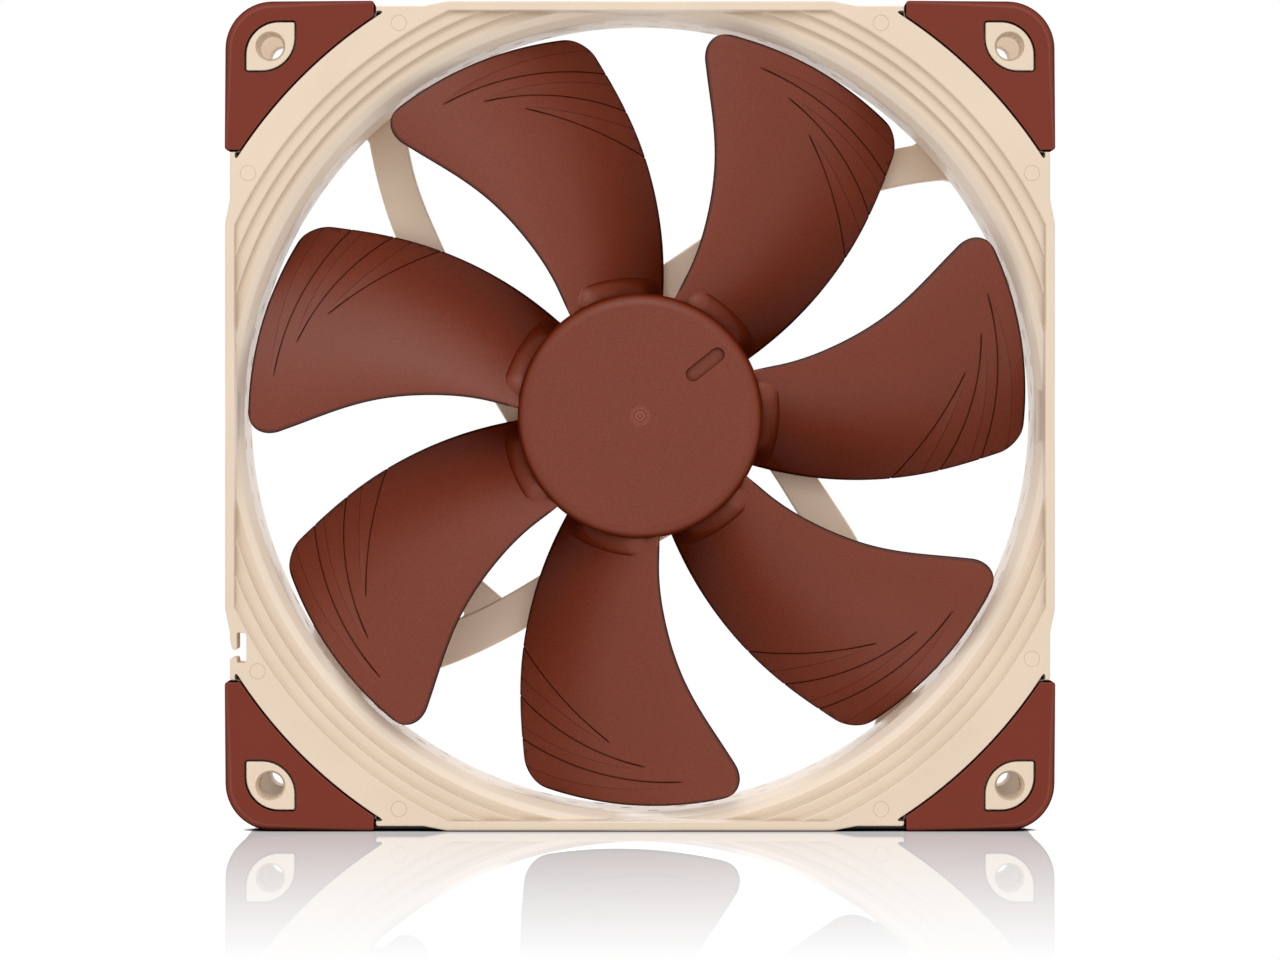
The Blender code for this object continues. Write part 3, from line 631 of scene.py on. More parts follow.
def duct_profile():
    """The air passage in section: stepped inlet with rounded edges, throat and flared outlet."""
    rim = INLET_STEPS[0][1] + BEYOND
    corners = [(0, FRONT - BEYOND, 0), (rim, FRONT - BEYOND, 0), (rim, FRONT - SKIN, 0)]
    for k, (depth, radius) in enumerate(INLET_STEPS):
        corners.append((radius, FRONT + depth - (0 if k else SKIN), STEP_EDGE_ROUND))
        if k + 1 < len(INLET_STEPS):
            corners.append((radius, FRONT + INLET_STEPS[k + 1][0], STEP_FOOT_ROUND))
    corners += [(radius, FRONT + depth, 1.5) for depth, radius in INLET_CURVE]
    corners += [(radius, REAR - depth, 2.5) for depth, radius in OUTLET_FLARE]
    corners.append((OUTLET_RADIUS, REAR + SKIN, EDGE_ROUND))
    corners += [(rim, REAR + SKIN, 0), (rim, REAR + BEYOND, 0), (0, REAR + BEYOND, 0)]
    return rounded(corners)


def duct_cutter():
    cutter = solid("duct_cut", turned(duct_profile(), DUCT_SIDES))
    square = rectangle((-BORE_SQUARE, -BORE_SQUARE), (BORE_SQUARE, BORE_SQUARE))
    limit = solid("duct_flats", layered(square, through_layers(EDGE_ROUND)))
    return combine(cutter, "INTERSECT", limit)


def window_cutter():
    """The open space between the front and rear flanges, outside the duct wall."""
    near, far = FRONT + FLANGE, REAR - FLANGE
    corners = (
        (WALL_OUTER_RADIUS, near, 0.8),
        (2 * HALF, near, 0),
        (2 * HALF, far, 0),
        (WALL_OUTER_RADIUS, far, 0.8),
    )
    return solid("window_cut", turned(rounded(corners), DUCT_SIDES))


def boss_outline(grow=0.0):
    """The eye-shaped boss round a screw hole: two opposite corners are rounded."""
    centre, half = HOLE_SPACING / 2, BOSS_SIDE / 2 + grow
    low, high = centre - half, centre + half
    radius = BOSS_ROUND + grow
    tip = BOSS_TIP_ROUND + grow
    return rectangle((low, low), (high, high), (radius, tip, radius, tip), 12)


def pocket_outline():
    """The recess in the frame for a pad: a corner region that runs on as a small wedge."""
    leg = LEG_END - GAP
    tip = math.sqrt(RING_EDGE_RADIUS**2 - TONGUE_INNER**2)
    start = math.degrees(math.atan2(tip, TONGUE_INNER))
    turns = arc((0, 0), RING_EDGE_RADIUS, start + 0.6, 90 - start - 0.6, PAD_ARC_STEPS)
    outer = HALF + BEYOND
    corners = [(*point, 0) for point in turns]
    corners += [
        (tip + 0.02, TONGUE_INNER, 0.25),
        (leg, TONGUE_INNER, 0.2),
        (leg, outer, 0),
        (outer, outer, 0),
        (outer, leg, 0),
        (TONGUE_INNER, leg, 0.2),
        (TONGUE_INNER, tip + 0.02, 0.25),
    ]
    return rounded(corners)


def pad_pocket_cutter():
    floor = FRONT + PAD_TOP + GAP
    pocket = layered(pocket_outline(), pocket_layers(FRONT, floor, POCKET_EDGE_ROUND))
    boss = layered(boss_outline(), edge_layers((FRONT, floor + BEYOND), BOSS_EDGE_ROUND, 0.0))
    pockets = solid("pocket_cut", *eight_corners(pocket))
    return cut(pockets, solid("boss_keep", *eight_corners(boss)))


def pad_end_cutter():
    """The deep wedge-shaped hole past the end of each pad's legs."""
    leg = LEG_END - GAP
    tip = math.sqrt(RING_EDGE_RADIUS**2 - TONGUE_INNER**2)
    wide = math.sqrt(RING_EDGE_RADIUS**2 - leg**2)
    margin = PAD_END_MARGIN
    triangle = rounded(
        [
            (wide + margin, leg, 0),
            (TONGUE_INNER - margin, leg, 0),
            (TONGUE_INNER - margin, tip + 3 * margin, margin),
        ]
    )
    layers = ((FRONT, 0.0), (FRONT + PAD_END_DEPTH, 0.0))
    wedge = layered(triangle, layers)
    other = layered(np.array(triangle)[:, ::-1], layers)
    return solid("pad_end_cut", *eight_corners(wedge), *eight_corners(other))


def screw_hole_cutter():
    place = HOLE_SPACING / 2
    mouth, seat = FRONT - SKIN, FRONT + HOLE_SEAT_DEPTH
    wide = HOLE_SEAT_RADIUS + BEYOND
    corners = [(0, FRONT - BEYOND, 0), (wide, FRONT - BEYOND, 0), (wide, mouth, 0)]
    corners += [(HOLE_SEAT_RADIUS, mouth, HOLE_EDGE_ROUND), (HOLE_SEAT_RADIUS, seat, HOLE_EDGE_ROUND)]
    corners.append((HOLE_RADIUS, seat, HOLE_EDGE_ROUND))
    front = rounded(corners)
    profile = front + [np.array((radius, -y)) for radius, y in front[::-1]]
    holes = [turned(profile, HOLE_SIDES, (x * place, z * place)) for _, x, z in corner_signs()]
    return solid("screw_hole_cut", *holes)


def notch_cutter():
    """The slot and mouth that hold the cable in the front flange, and the recess in the rear one."""
    slot = layered(rounded(NOTCH), pocket_layers(FRONT, FRONT + NOTCH_DEPTH, NOTCH_EDGE_ROUND))
    recess = layered(rounded(NOTCH_RECESS), pocket_layers(REAR, REAR - NOTCH_DEPTH, NOTCH_EDGE_ROUND))
    return solid("notch_cut", slot, recess)


def ring_cutter(name, places, radius, line, face, depth):
    """Narrow circular grooves in a face."""
    profile = (
        (radius - line / 2, face - BEYOND),
        (radius + line / 2, face - BEYOND),
        (radius + line / 2, face + depth / 2),
        (radius, face + depth),
        (radius - line / 2, face + depth / 2),
    )
    return solid(name, *[turned(profile, HOLE_SIDES, place) for place in places])


def dent_cutter():
    """Small long dents in staggered rows round the duct wall."""
    bm = bmesh.new()
    bmesh.ops.create_uvsphere(bm, u_segments=10, v_segments=7, radius=0.5)
    ball = np.array([vert.co for vert in bm.verts])
    faces = [tuple(vert.index for vert in face.verts) for face in bm.faces]
    bm.free()
    ball = ball * np.array((2 * DENT_DEPTH, DENT_WIDTH, DENT_LENGTH))
    wall = (*INLET_STEPS[-1:], *INLET_CURVE, (DENT_ROWS[-1] + BEYOND, THROAT_RADIUS))
    dents = []
    for row, depth in enumerate(DENT_ROWS):
        radius = np.interp(depth, [place for place, _ in wall], [size for _, size in wall])
        moved = ball + np.array((radius, FRONT + depth, 0.0))
        for k in range(DENTS_PER_ROW):
            dents.append(spun((moved, faces), 360 * (k + row % 2 / 2) / DENTS_PER_ROW))
    return solid("dent_cut", *dents)


def fillet_reach(distance, radius):
    """How far a fillet stands out from a wall at a distance along the surface that it joins."""
    inner = np.clip(radius - distance, 0.0, radius)
    return radius - np.sqrt(np.maximum(radius**2 - inner**2, 0.0))


def arm_edge(edge, side, radii, shift=0.0):
    """Points along an arm's edge, with a fillet where the arm meets the base and the duct wall."""
    points = []
    for radius in radii:
        spread = fillet_reach(radius - BASE_RADIUS, ARM_BASE_FILLET)
        spread += fillet_reach(OUTLET_FLARE[1][1] - radius, ARM_WALL_FILLET)
        angle = smooth_value(edge, radius) + math.degrees((shift + side * spread) / radius)
        points.append(face_point(radius, angle))
    return points


def arm_shape():
    radii = np.linspace(ARM_LEFT_EDGE[0][0], ARM_LEFT_EDGE[-1][0], ARM_STEPS + 1)
    outline = arm_edge(ARM_LEFT_EDGE, 1, radii) + arm_edge(ARM_RIGHT_EDGE, -1, radii)[::-1]
    return layered(outline, edge_layers((ARM_FRONT, ARM_REAR), ARM_ROUND, ARM_ROUND))


def cable_rib_shape():
    """The extra width of the arm that carries the cable."""
    radii = np.linspace(CABLE_RIB_START, ARM_RIGHT_EDGE[-1][0], ARM_STEPS + 1)
    left = arm_edge(ARM_RIGHT_EDGE, 0, radii, RIB_OVERLAP)
    right = arm_edge(ARM_RIGHT_EDGE, 0, radii, -CABLE_RIB_WIDTH)
    return layered(left + right[::-1], edge_layers(CABLE_RIB_SPAN, ARM_ROUND, ARM_ROUND))


def cable_slot_shape():
    """The long slot with round ends that grips the cable beside its arm."""
    start, end = CABLE_SLOT
    half = CABLE_SLOT_WIDTH / 2
    radii = np.linspace(start, end, ARM_STEPS + 1)
    widths = np.sqrt(np.maximum(half**2 - np.maximum(half - (radii - start), 0) ** 2, 0.0004))
    left, right = [], []
    for radius, width in zip(radii, widths):
        left += arm_edge(ARM_RIGHT_EDGE, 0, [radius], width - half)
        right += arm_edge(ARM_RIGHT_EDGE, 0, [radius], -width - half)
    return layered(left + right[::-1], ((BASE_FRONT, 0.0), (REAR + BEYOND, 0.0)))


def base_profile():
    """The motor base: a rimmed dish with a tube in its middle that holds the bearing."""
    rim_inner = BASE_RADIUS - BASE_RIM
    return rounded(
        (
            (0, TUBE_BOTTOM, 0),
            (TUBE_BORE, TUBE_BOTTOM, 0),
            (TUBE_BORE, TUBE_FRONT, 0.15),
            (TUBE_RADIUS, TUBE_FRONT, 0.15),
            (TUBE_RADIUS, BASE_FLOOR, 0.5),
            (rim_inner, BASE_FLOOR, 0.3),
            (rim_inner, BASE_FRONT, 0.25),
            (BASE_RADIUS, BASE_FRONT, 0.3),
            (BASE_RADIUS, REAR, 0.6),
            (LABEL_RECESS_RADIUS, REAR, 0.2),
            (LABEL_RECESS_RADIUS, REAR - LABEL_RECESS, 0.1),
            (0, REAR - LABEL_RECESS, 0),
        )
    )


def wire_notch_cutter():
    """The gap in the base's rim through which the leads reach the cable arm."""
    half = WIRE_NOTCH_WIDTH / 2
    near, far = BASE_RADIUS - BASE_RIM - 1.0, BASE_RADIUS + 1.0
    outline = rectangle((near, -half), (far, half))
    angle = smooth_value(ARM_RIGHT_EDGE, BASE_RADIUS) + 360 * CABLE_ARM / ARM_COUNT + WIRE_NOTCH_TURN
    layers = ((BASE_FRONT - 1.0, 0.0), (ARM_FRONT + 1.0, 0.0))
    return solid("wire_notch_cut", spun(layered(outline, layers), angle))


def build_frame(material):
    outside = layered(frame_outline(), edge_layers((FRONT, REAR), EDGE_ROUND, EDGE_ROUND))
    body = solid("frame_moulding", outside)
    cut(body, window_cutter())
    cut(body, duct_cutter())
    cut(body, pad_pocket_cutter())
    cut(body, pad_end_cutter())
    cut(body, screw_hole_cutter())
    cut(body, notch_cutter())
    cut(body, ring_cutter("mark_cut", MARKS, MARK_RADIUS, MARK_LINE, FRONT, MARK_DEPTH))
    cut(body, dent_cutter())
    for arm in range(ARM_COUNT):
        join(body, solid("arm", spun(arm_shape(), 360 * arm / ARM_COUNT)))
    cable_angle = 360 * CABLE_ARM / ARM_COUNT
    join(body, solid("cable_rib", spun(cable_rib_shape(), cable_angle)))
    cut(body, solid("cable_slot", spun(cable_slot_shape(), cable_angle)))
    bore = BASE_RADIUS - BASE_RIM / 2
    near, far = BASE_FRONT - BEYOND, REAR + BEYOND
    clearance = ((0, near), (bore, near), (bore, far), (0, far))
    cut(body, solid("base_clearance", turned(clearance, HUB_SIDES)))
    join(body, solid("motor_base", turned(base_profile(), HUB_SIDES)))
    cut(body, wire_notch_cutter())
    finish_piece(body, material, "frame_plastic", "stator_frame", "frame")


# Corner pads


def pad_outline():
    """The pad's outer shape, and how much its edge is rounded at each of its points."""
    inner = math.sqrt(PAD_ARC_RADIUS**2 - LEG_END**2)
    start = math.degrees(math.atan2(inner, LEG_END))
    turns = arc((0, 0), PAD_ARC_RADIUS, 90 - start + 0.3, start - 0.3, PAD_ARC_STEPS)
    corners = [(*point, 0) for point in turns]
    corners += [
        (LEG_END, inner, 0.3),
        (LEG_END, HALF, PAD_LEG_ROUND),
        (HALF, HALF, PAD_CORNER_RADIUS),
        (HALF, LEG_END, PAD_LEG_ROUND),
        (inner, LEG_END, 0.3),
    ]
    outline = np.array(rounded(corners, 14))
    beyond_arc = np.linalg.norm(outline, axis=1) - PAD_ARC_RADIUS
    growth = PAD_EDGE_ROUND - PAD_ARC_EDGE_ROUND
    rounding = PAD_ARC_EDGE_ROUND + growth * smooth_step(1.0, 6.0, beyond_arc)
    return outline, rounding


def pad_shape():
    outline, rounding = pad_outline()
    return layered(outline, edge_layers((FRONT, FRONT + FLANGE), rounding, 0.2))


def build_pads(material):
    """A soft pad over each screw corner of each face: a top round the boss, and a skirt."""
    inner = HALF / 2
    core_edge, core_round = HALF - PAD_WALL, PAD_CORNER_RADIUS - PAD_WALL
    core_outline = rectangle((inner, inner), (core_edge, core_edge), (0, 0, core_round, 0))
    core = layered(core_outline, ((FRONT + PAD_TOP, 0.0), (FRONT + FLANGE + BEYOND, 0.0)))
    window = layered(boss_outline(BOSS_GAP), pocket_layers(FRONT, FRONT + FLANGE + BEYOND, 0.2))
    pad = cut(solid("pad_pattern", pad_shape()), solid("pad_core", core))
    shape = taken_apart(cut(pad, solid("pad_window", window)))
    for corner, sign_x, sign_z in corner_signs():
        for face, sign_y in (("front", 1), ("rear", -1)):
            piece = solid(f"soft_pad_{face}_{corner}", mirrored(shape, sign_x, sign_y, sign_z))
            finish_piece(piece, material, "pad_rubber", "stator_frame", f"pad_{face}_{corner}")


# Impeller


def corner_pull(radius, corner):
    """How far a rounded tip corner draws the blade's edge in at this radius."""
    rise = np.clip(radius - (BLADE_TIP - corner), 0.0, corner)
    return corner - math.sqrt(corner**2 - rise**2)


class Section:
    """The blade cut at one radius. Lengths run along the arc, from the trailing to the leading edge."""

    def __init__(self, radius):
        self.radius = radius
        share = (radius - BLADE_ROOT) / (BLADE_TIP - BLADE_ROOT)
        self.camber = ROOT_CAMBER + (TIP_CAMBER - ROOT_CAMBER) * share
        self.middle = ROOT_THICKNESS + (TIP_THICKNESS - ROOT_THICKNESS) * share
        self.lead_full = radius * math.radians(smooth_value(LEADING_EDGE, radius))
        self.trail_full = radius * math.radians(smooth_value(TRAILING_EDGE, radius))
        self.lead = self.lead_full - corner_pull(radius, LEADING_CORNER)
        self.trail = self.trail_full + corner_pull(radius, TRAILING_CORNER)
        self.rear_fillet = fillet_reach(radius - HUB_RADIUS, REAR_FILLET)

    def middle_line(self, along):
        """Depth and slope of the blade's middle surface."""
        chord = self.lead_full - self.trail_full
        place = max(0.0, (self.lead_full - along) / chord)
        fall = TRAILING_DEPTH - LEADING_DEPTH
        depth = FRONT + LEADING_DEPTH + fall * place**self.camber
        slope = fall * self.camber * place ** (self.camber - 1) / chord
        return depth, slope

    def half_thickness(self, share):
        return (EDGE_THICKNESS + (self.middle - EDGE_THICKNESS) * math.sin(math.pi * share)) / 2

    def lobe(self, share):
        """Height of the raised collar where the blade's front meets the hub, with a round leading end."""
        out = max(self.radius - HUB_RADIUS, 0.0) / LOBE_REACH
        before = max(1 - (share - LOBE_START) / LOBE_END_LENGTH, 0.0)
        rise = max(1 - out**2 - before**2, 0.0) ** LOBE_FULLNESS
        return LOBE_HEIGHT * rise * (1 - smooth_step(*LOBE_FADE, share))

    def point(self, along, front_offset):
        """A point off the middle surface, towards the front, as (length along the arc, y)."""
        depth, slope = self.middle_line(along)
        length = math.hypot(1, slope)
        return along - front_offset * slope / length, depth - front_offset / length

    def front_surface(self, angle, lift):
        """The point of the front surface at a face angle, lifted off it by a distance."""
        target = self.radius * math.radians(angle)
        along = target
        for _ in range(SURFACE_TRIES):
            share = np.clip((self.lead - along) / (self.lead - self.trail), 0.0, 1.0)
            offset = self.half_thickness(share) + lift
            along += target - self.point(along, offset)[0]
        return self.place(*self.point(along, offset))

    def place(self, along, y):
        x, z = face_point(self.radius, math.degrees(along / self.radius))
        return x, y, z

    def ring(self, thickness_scale):
        """The closed section: front surface, trailing edge, rear surface, leading edge."""
        edge = EDGE_THICKNESS / 2 * thickness_scale
        lead, trail = self.lead - EDGE_THICKNESS / 2, self.trail + EDGE_THICKNESS / 2
        front, rear = [], []
        for step in range(CHORD_STEPS + 1):
            share = step / CHORD_STEPS
            along = lead + (trail - lead) * share
            half = self.half_thickness(share) * thickness_scale
            foot = smooth_step(0.0, REAR_FILLET_FADE, share)
            foot *= 1 - smooth_step(1.0 - REAR_FILLET_FADE, 1.0, share)
            front.append(self.place(*self.point(along, half + self.lobe(share))))
            rear.append(self.place(*self.point(along, -half - self.rear_fillet * foot)))
        trailing = self.round_edge(trail, edge, -1)
        leading = self.round_edge(lead, edge, 1)
        return np.array(front + trailing + rear[::-1] + leading[::-1])

    def round_edge(self, along, radius, direction):
        """Points of the half circle round a blade edge, from its front to its rear."""
        depth, slope = self.middle_line(along)
        length = math.hypot(1, slope)
        points = []
        for turn in BLADE_EDGE_TURNS:
            out = direction * radius * math.sin(math.radians(turn))
            lift = radius * math.cos(math.radians(turn))
            reach = along + (out - lift * slope) / length
            points.append(self.place(reach, depth + (-out * slope - lift) / length))
        return points


def blade_radii():
    """Radii of the blade's sections, with how thick each is: closer at the root, corners and tip."""
    lobe_end = HUB_RADIUS + LOBE_REACH
    corner_start = BLADE_TIP - LEADING_CORNER
    radii = [BLADE_ROOT]
    collar_turns = np.radians(np.linspace(0, 90, COLLAR_SECTIONS))
    radii += [HUB_RADIUS + LOBE_REACH * math.sin(turn) for turn in collar_turns]
    radii += list(np.linspace(lobe_end, corner_start, SPAN_SECTIONS)[1:])
    turns = np.radians(np.linspace(0, 90, TIP_CORNER_SECTIONS))[1:]
    end = BLADE_TIP - TIP_ROUND
    radii += [corner_start + (end - corner_start) * math.sin(turn) for turn in turns]
    sections = [(radius, 1.0) for radius in radii]
    for turn in TIP_EDGE_TURNS:
        reach = math.radians(turn)
        sections.append((end + TIP_ROUND * math.sin(reach), math.cos(reach)))
    return sections


def blade_shape():
    rings = [Section(radius).ring(scale) for radius, scale in blade_radii()]
    count = len(rings[0])
    middle = CHORD_STEPS + 1
    # The ends are closed with strips from the front to the rear surface.
    rear_first = middle + len(BLADE_EDGE_TURNS) + CHORD_STEPS
    strips = [(k, k + 1, rear_first - k - 1, rear_first - k) for k in range(CHORD_STEPS)]
    strips.append(tuple(range(middle - 1, middle + len(BLADE_EDGE_TURNS) + 1)))
    strips.append((*range(rear_first, count), 0))
    return lofted(rings, strips)


def channel_section(share):
    """Distance from the step's line and depth below the surface, at one place along a channel."""
    width = CHANNEL_START_WIDTH + (CHANNEL_END_WIDTH - CHANNEL_START_WIDTH) * share
    line = CHANNEL_LINE_DEPTH * smooth_step(*CHANNEL_LINE_FADE, share)
    start = CHANNEL_LINE_WIDTH + CHANNEL_LINE_SLOPE
    section = [(0.0, line), (CHANNEL_LINE_WIDTH, line)]
    for side in np.linspace(0, 1, CHANNEL_WIDTH_STEPS):
        fall = 1 - side**2
        depth = CHANNEL_OUTER_DEPTH + (CHANNEL_DEPTH - CHANNEL_OUTER_DEPTH) * fall
        section.append((start + (width - start) * side, depth * smooth_step(*CHANNEL_FADE, share)))
    return section


def channel_shape(line):
    """What is shaved off the front surface: a crisp line, and a hollow that runs out to a low step."""
    angles = np.array([point[0] for point in line])
    radii = np.array([point[1] for point in line])
    curve = np.polyfit(angles, radii, 2)
    rings = []
    for share in np.linspace(0, 1 + CHANNEL_OVERRUN, CHANNEL_STEPS):
        angle = angles[0] + (angles[-1] - angles[0]) * share
        radius = np.polyval(curve, angle)
        floor, lid = [], []
        for distance, depth in channel_section(share):
            section = Section(min(radius + distance, BLADE_TIP - CHANNEL_TIP_MARGIN))
            floor.append(section.front_surface(angle, SKIN - depth))
            lid.append(section.front_surface(angle, CHANNEL_LID))
        rings.append(np.array(floor + lid[::-1]))
    count = len(floor)
    last = 2 * count - 1
    strips = [(k, k + 1, last - k - 1, last - k) for k in range(count - 1)]
    return lofted(rings, strips)


def mark_blade_edges(mesh):
    """Stores, for the material's painted shade along the edges, how near each point is to a blade's edge, 0
    to 1.
    """
    pitch = 360 / BLADE_COUNT
    nearness = []
    for vert in mesh.vertices:
        radius = math.hypot(vert.co.x, vert.co.z)
        if radius < HUB_RADIUS + LOBE_REACH / 2:
            nearness.append(0.0)
            continue
        section = Section(min(radius, BLADE_TIP))
        distances = [abs(BLADE_TIP - radius)]
        for edge in (section.lead, section.trail):
            turn = math.degrees(math.atan2(vert.co.z, vert.co.x)) - math.degrees(edge / section.radius)
            turn = (turn + pitch / 2) % pitch - pitch / 2
            distances.append(radius * math.radians(abs(turn)))
        nearness.append(1.0 - smooth_step(*BLADE_EDGE_SHADE_REACH, min(distances)))
    mesh.attributes.new("blade_edge", "FLOAT", "POINT").data.foreach_set("value", nearness)


def hub_profile():
    inner = HUB_RADIUS - HUB_WALL
    return rounded(
        (
            (0, HUB_FACE, 0),
            (HUB_RADIUS, HUB_FACE, HUB_EDGE),
            (HUB_RADIUS, HUB_REAR, 0.3),
            (inner, HUB_REAR, 0.2),
            (inner, HUB_FACE + HUB_TOP, 0.5),
            (0, HUB_FACE + HUB_TOP, 0),
        ),
        10,
    )


def pill_shape():
    """A shallow recess with round ends in the hub's face."""
    reach, half = PILL_LENGTH / 2, PILL_WIDTH / 2
    pill = rectangle((-reach, -half), (reach, half), (half, half, half, half), 14)
    outline = turn_outline(pill, PILL_TURN) + np.array(PILL_PLACE)
    return layered(outline, pocket_layers(HUB_FACE, HUB_FACE + PILL_DEPTH, 0.1))


def gate_nub_shape():
    """The small four-sided point left where the plastic was let into the mould."""
    outline = [face_point(GATE_NUB, 90 * side) for side in range(4)]
    return layered(outline, ((HUB_FACE - GATE_NUB_HEIGHT, 0.3), (HUB_FACE + GATE_NUB_HEIGHT, 0.0)))


def build_impeller(material):
    blade = solid("blade_pattern", blade_shape())
    for line in CHANNELS:
        cut(blade, solid("channel", channel_shape(line)))
    shape = taken_apart(blade)
    hub = solid("impeller_moulding", turned(hub_profile(), HUB_SIDES))
    blades = [spun(shape, 360 * index / BLADE_COUNT) for index in range(BLADE_COUNT)]
    join(hub, solid("blades", *blades))
    cut(hub, solid("pill", pill_shape()))
    cut(hub, ring_cutter("gate_ring", [(0.0, 0.0)], GATE_RADIUS, GATE_LINE, HUB_FACE, GATE_DEPTH))
    join(hub, solid("gate_nub", gate_nub_shape()))
    mark_blade_edges(hub.data)
    finish_piece(hub, material, "impeller_plastic", "rotor", "impeller")


# Materials


def feed(tree, value, socket):
    """Gives an input socket a value, or the output socket that feeds it."""
    if isinstance(value, bpy.types.NodeSocket):
        tree.links.new(value, socket)
    else:
        socket.default_value = value


def add_node(tree, kind, inputs=None, **settings):
    made = tree.nodes.new(kind)
    for name, value in settings.items():
        setattr(made, name, value)
    for name, value in (inputs or {}).items():
        feed(tree, value, made.inputs[name])
    return made


def math_node(tree, operation, *values):
    return add_node(tree, "ShaderNodeMath", dict(enumerate(values)), operation=operation).outputs["Value"]


def multiplied(tree, first, second):
    return math_node(tree, "MULTIPLY", first, second)


def noise(tree, coordinates, size, detail, roughness=0.5):
    """Noise whose lumps are about this many millimetres across."""
    inputs = {"Vector": coordinates, "Scale": 1 / (size * MM), "Detail": detail, "Roughness": roughness}
    return add_node(tree, "ShaderNodeTexNoise", inputs).outputs["Fac"]


def remap(tree, value, low, high, from_low=0.0, from_high=1.0):
    inputs = {"Value": value, "From Min": from_low, "From Max": from_high, "To Min": low, "To Max": high}
    return add_node(tree, "ShaderNodeMapRange", inputs).outputs["Result"]


def shade(tree, colour, amount):
    """The colour made lighter or darker by a factor."""
    inputs = {0: colour, "Scale": amount}
    return add_node(tree, "ShaderNodeVectorMath", inputs, operation="SCALE").outputs["Vector"]


def mixed(tree, factor, first, second):
    inputs = {"Fac": factor, "Color1": first, "Color2": second}
    return add_node(tree, "ShaderNodeMixRGB", inputs).outputs["Color"]


def edge_mask(tree):
    """0 on open surfaces and 1 close to an edge."""
    soft = add_node(tree, "ShaderNodeBevel", {"Radius": SOFT_EDGE * MM}, samples=4).outputs["Normal"]
    true_normal = add_node(tree, "ShaderNodeNewGeometry").outputs["Normal"]
    dot = add_node(tree, "ShaderNodeVectorMath", {0: soft, 1: true_normal}, operation="DOT_PRODUCT")
    return remap(tree, dot.outputs["Value"], 1.0, 0.0, *EDGE_TURN)


def new_material(name):
    """A material with its node tree, its shader and the coordinates of its texture."""
    material = bpy.data.materials.new(name)
    material.use_nodes = True
    tree = material.node_tree
    coordinates = add_node(tree, "ShaderNodeTexCoord").outputs["Object"]
    return material, tree, tree.nodes["Principled BSDF"], coordinates


def spread(tree, pattern, middle, amount):
    """A value that a noise pattern moves by up to an amount to both sides of its middle."""
    return remap(tree, pattern, middle - amount, middle + amount, *NOISE_RANGE)


def add_bump(tree, height, strength, depth):
    """Gives the shader's surface a relief, over a depth in millimetres."""
    inputs = {"Height": height, "Strength": strength, "Distance": depth * MM}
    bump = add_node(tree, "ShaderNodeBump", inputs)
    tree.links.new(bump.outputs["Normal"], tree.nodes["Principled BSDF"].inputs["Normal"])


def moulded(name, colour, roughness, grain, speckle, painted_edge_light, grain_height, specular=0.5, crevice_shade=0.0):
    """A moulded plastic or rubber: fine grain, faint speckle and clouding, and edges with painted light:
    lighter as a painted highlight where painted_edge_light is above 1, darker as painted shade below 1.

    The colour is a value, or a list of colours by how face-on the surface is, which paints shade on the
    sides, whose sides are then also duller. Painted shade darkens and dulls corners and gaps.
    """
    material, tree, shader, coordinates = new_material(name)
    fine = noise(tree, coordinates, grain, 3.0, 0.6)
    cloud = noise(tree, coordinates, CLOUD_SIZE, 2.0)
    mask = edge_mask(tree)
    tint, gloss = colour, specular
    if isinstance(colour[0], tuple):
        # painted shade: a list of colours darkens the surface as it turns sideways from the front or rear
        facing = face_on(tree)
        tint = colour_ramp(tree, facing, colour)
        gloss = remap(tree, facing, SIDE_SPECULAR, specular, *GLOSS_TURN)
    # painted shade: darker colour and less gloss where corners and gaps close the surface in
    if crevice_shade:
        corners = add_node(tree, "ShaderNodeAmbientOcclusion", {"Distance": CREVICE_SHADE_REACH * MM}, samples=6)
        openness = remap(tree, corners.outputs["AO"], 0.0, 1.0, *CREVICE_SHADE_RANGE)
        tint = shade(tree, tint, remap(tree, openness, 1 - crevice_shade, 1.0))
        gloss = multiplied(tree, gloss, openness)
    feed(tree, gloss, shader.inputs["Specular IOR Level"])
    lit = shade(tree, tint, spread(tree, fine, 1.0, speckle))
    lit = shade(tree, lit, spread(tree, cloud, 1.0, CLOUD_DEPTH))
    # painted light along the edges: a highlight above 1, shade below 1
    lit = shade(tree, lit, remap(tree, mask, 1.0, painted_edge_light))
    tree.links.new(lit, shader.inputs["Base Color"])
    tree.links.new(spread(tree, fine, roughness, PLASTIC_SPREAD), shader.inputs["Roughness"])
    add_bump(tree, fine, 1.0, grain_height)
    return material


def face_on(tree):
    """How squarely the surface faces the fan's front or rear, 0 to 1."""
    normal = add_node(tree, "ShaderNodeTexCoord").outputs["Normal"]
    depth = add_node(tree, "ShaderNodeSeparateXYZ", {"Vector": normal}).outputs["Y"]
    return math_node(tree, "ABSOLUTE", depth)


def colour_ramp(tree, value, colours):
    ramp = add_node(tree, "ShaderNodeValToRGB", {"Fac": value})
    stops = ramp.color_ramp.elements
    while len(stops) < len(colours):
        stops.new(1.0)
    for stop, (place, colour) in zip(stops, colours):
        stop.position = place
        stop.color = (*colour, 1.0)
    return ramp.outputs["Color"]


def axis_band(tree, start, end, soft):
    """1 between two distances from the rotor axis, in millimetres, and 0 elsewhere."""
    coordinates = add_node(tree, "ShaderNodeTexCoord").outputs["Object"]
    flat = add_node(tree, "ShaderNodeVectorMath", {0: coordinates, 1: (1, 0, 1)}, operation="MULTIPLY")
    radius = add_node(tree, "ShaderNodeVectorMath", {0: flat.outputs["Vector"]}, operation="LENGTH")
    radius = radius.outputs["Value"]
    inside = remap(tree, radius, 1.0, 0.0, end * MM, (end + soft) * MM)
    outside = remap(tree, radius, 0.0, 1.0, (start - soft) * MM, start * MM)
    return multiplied(tree, inside, outside)


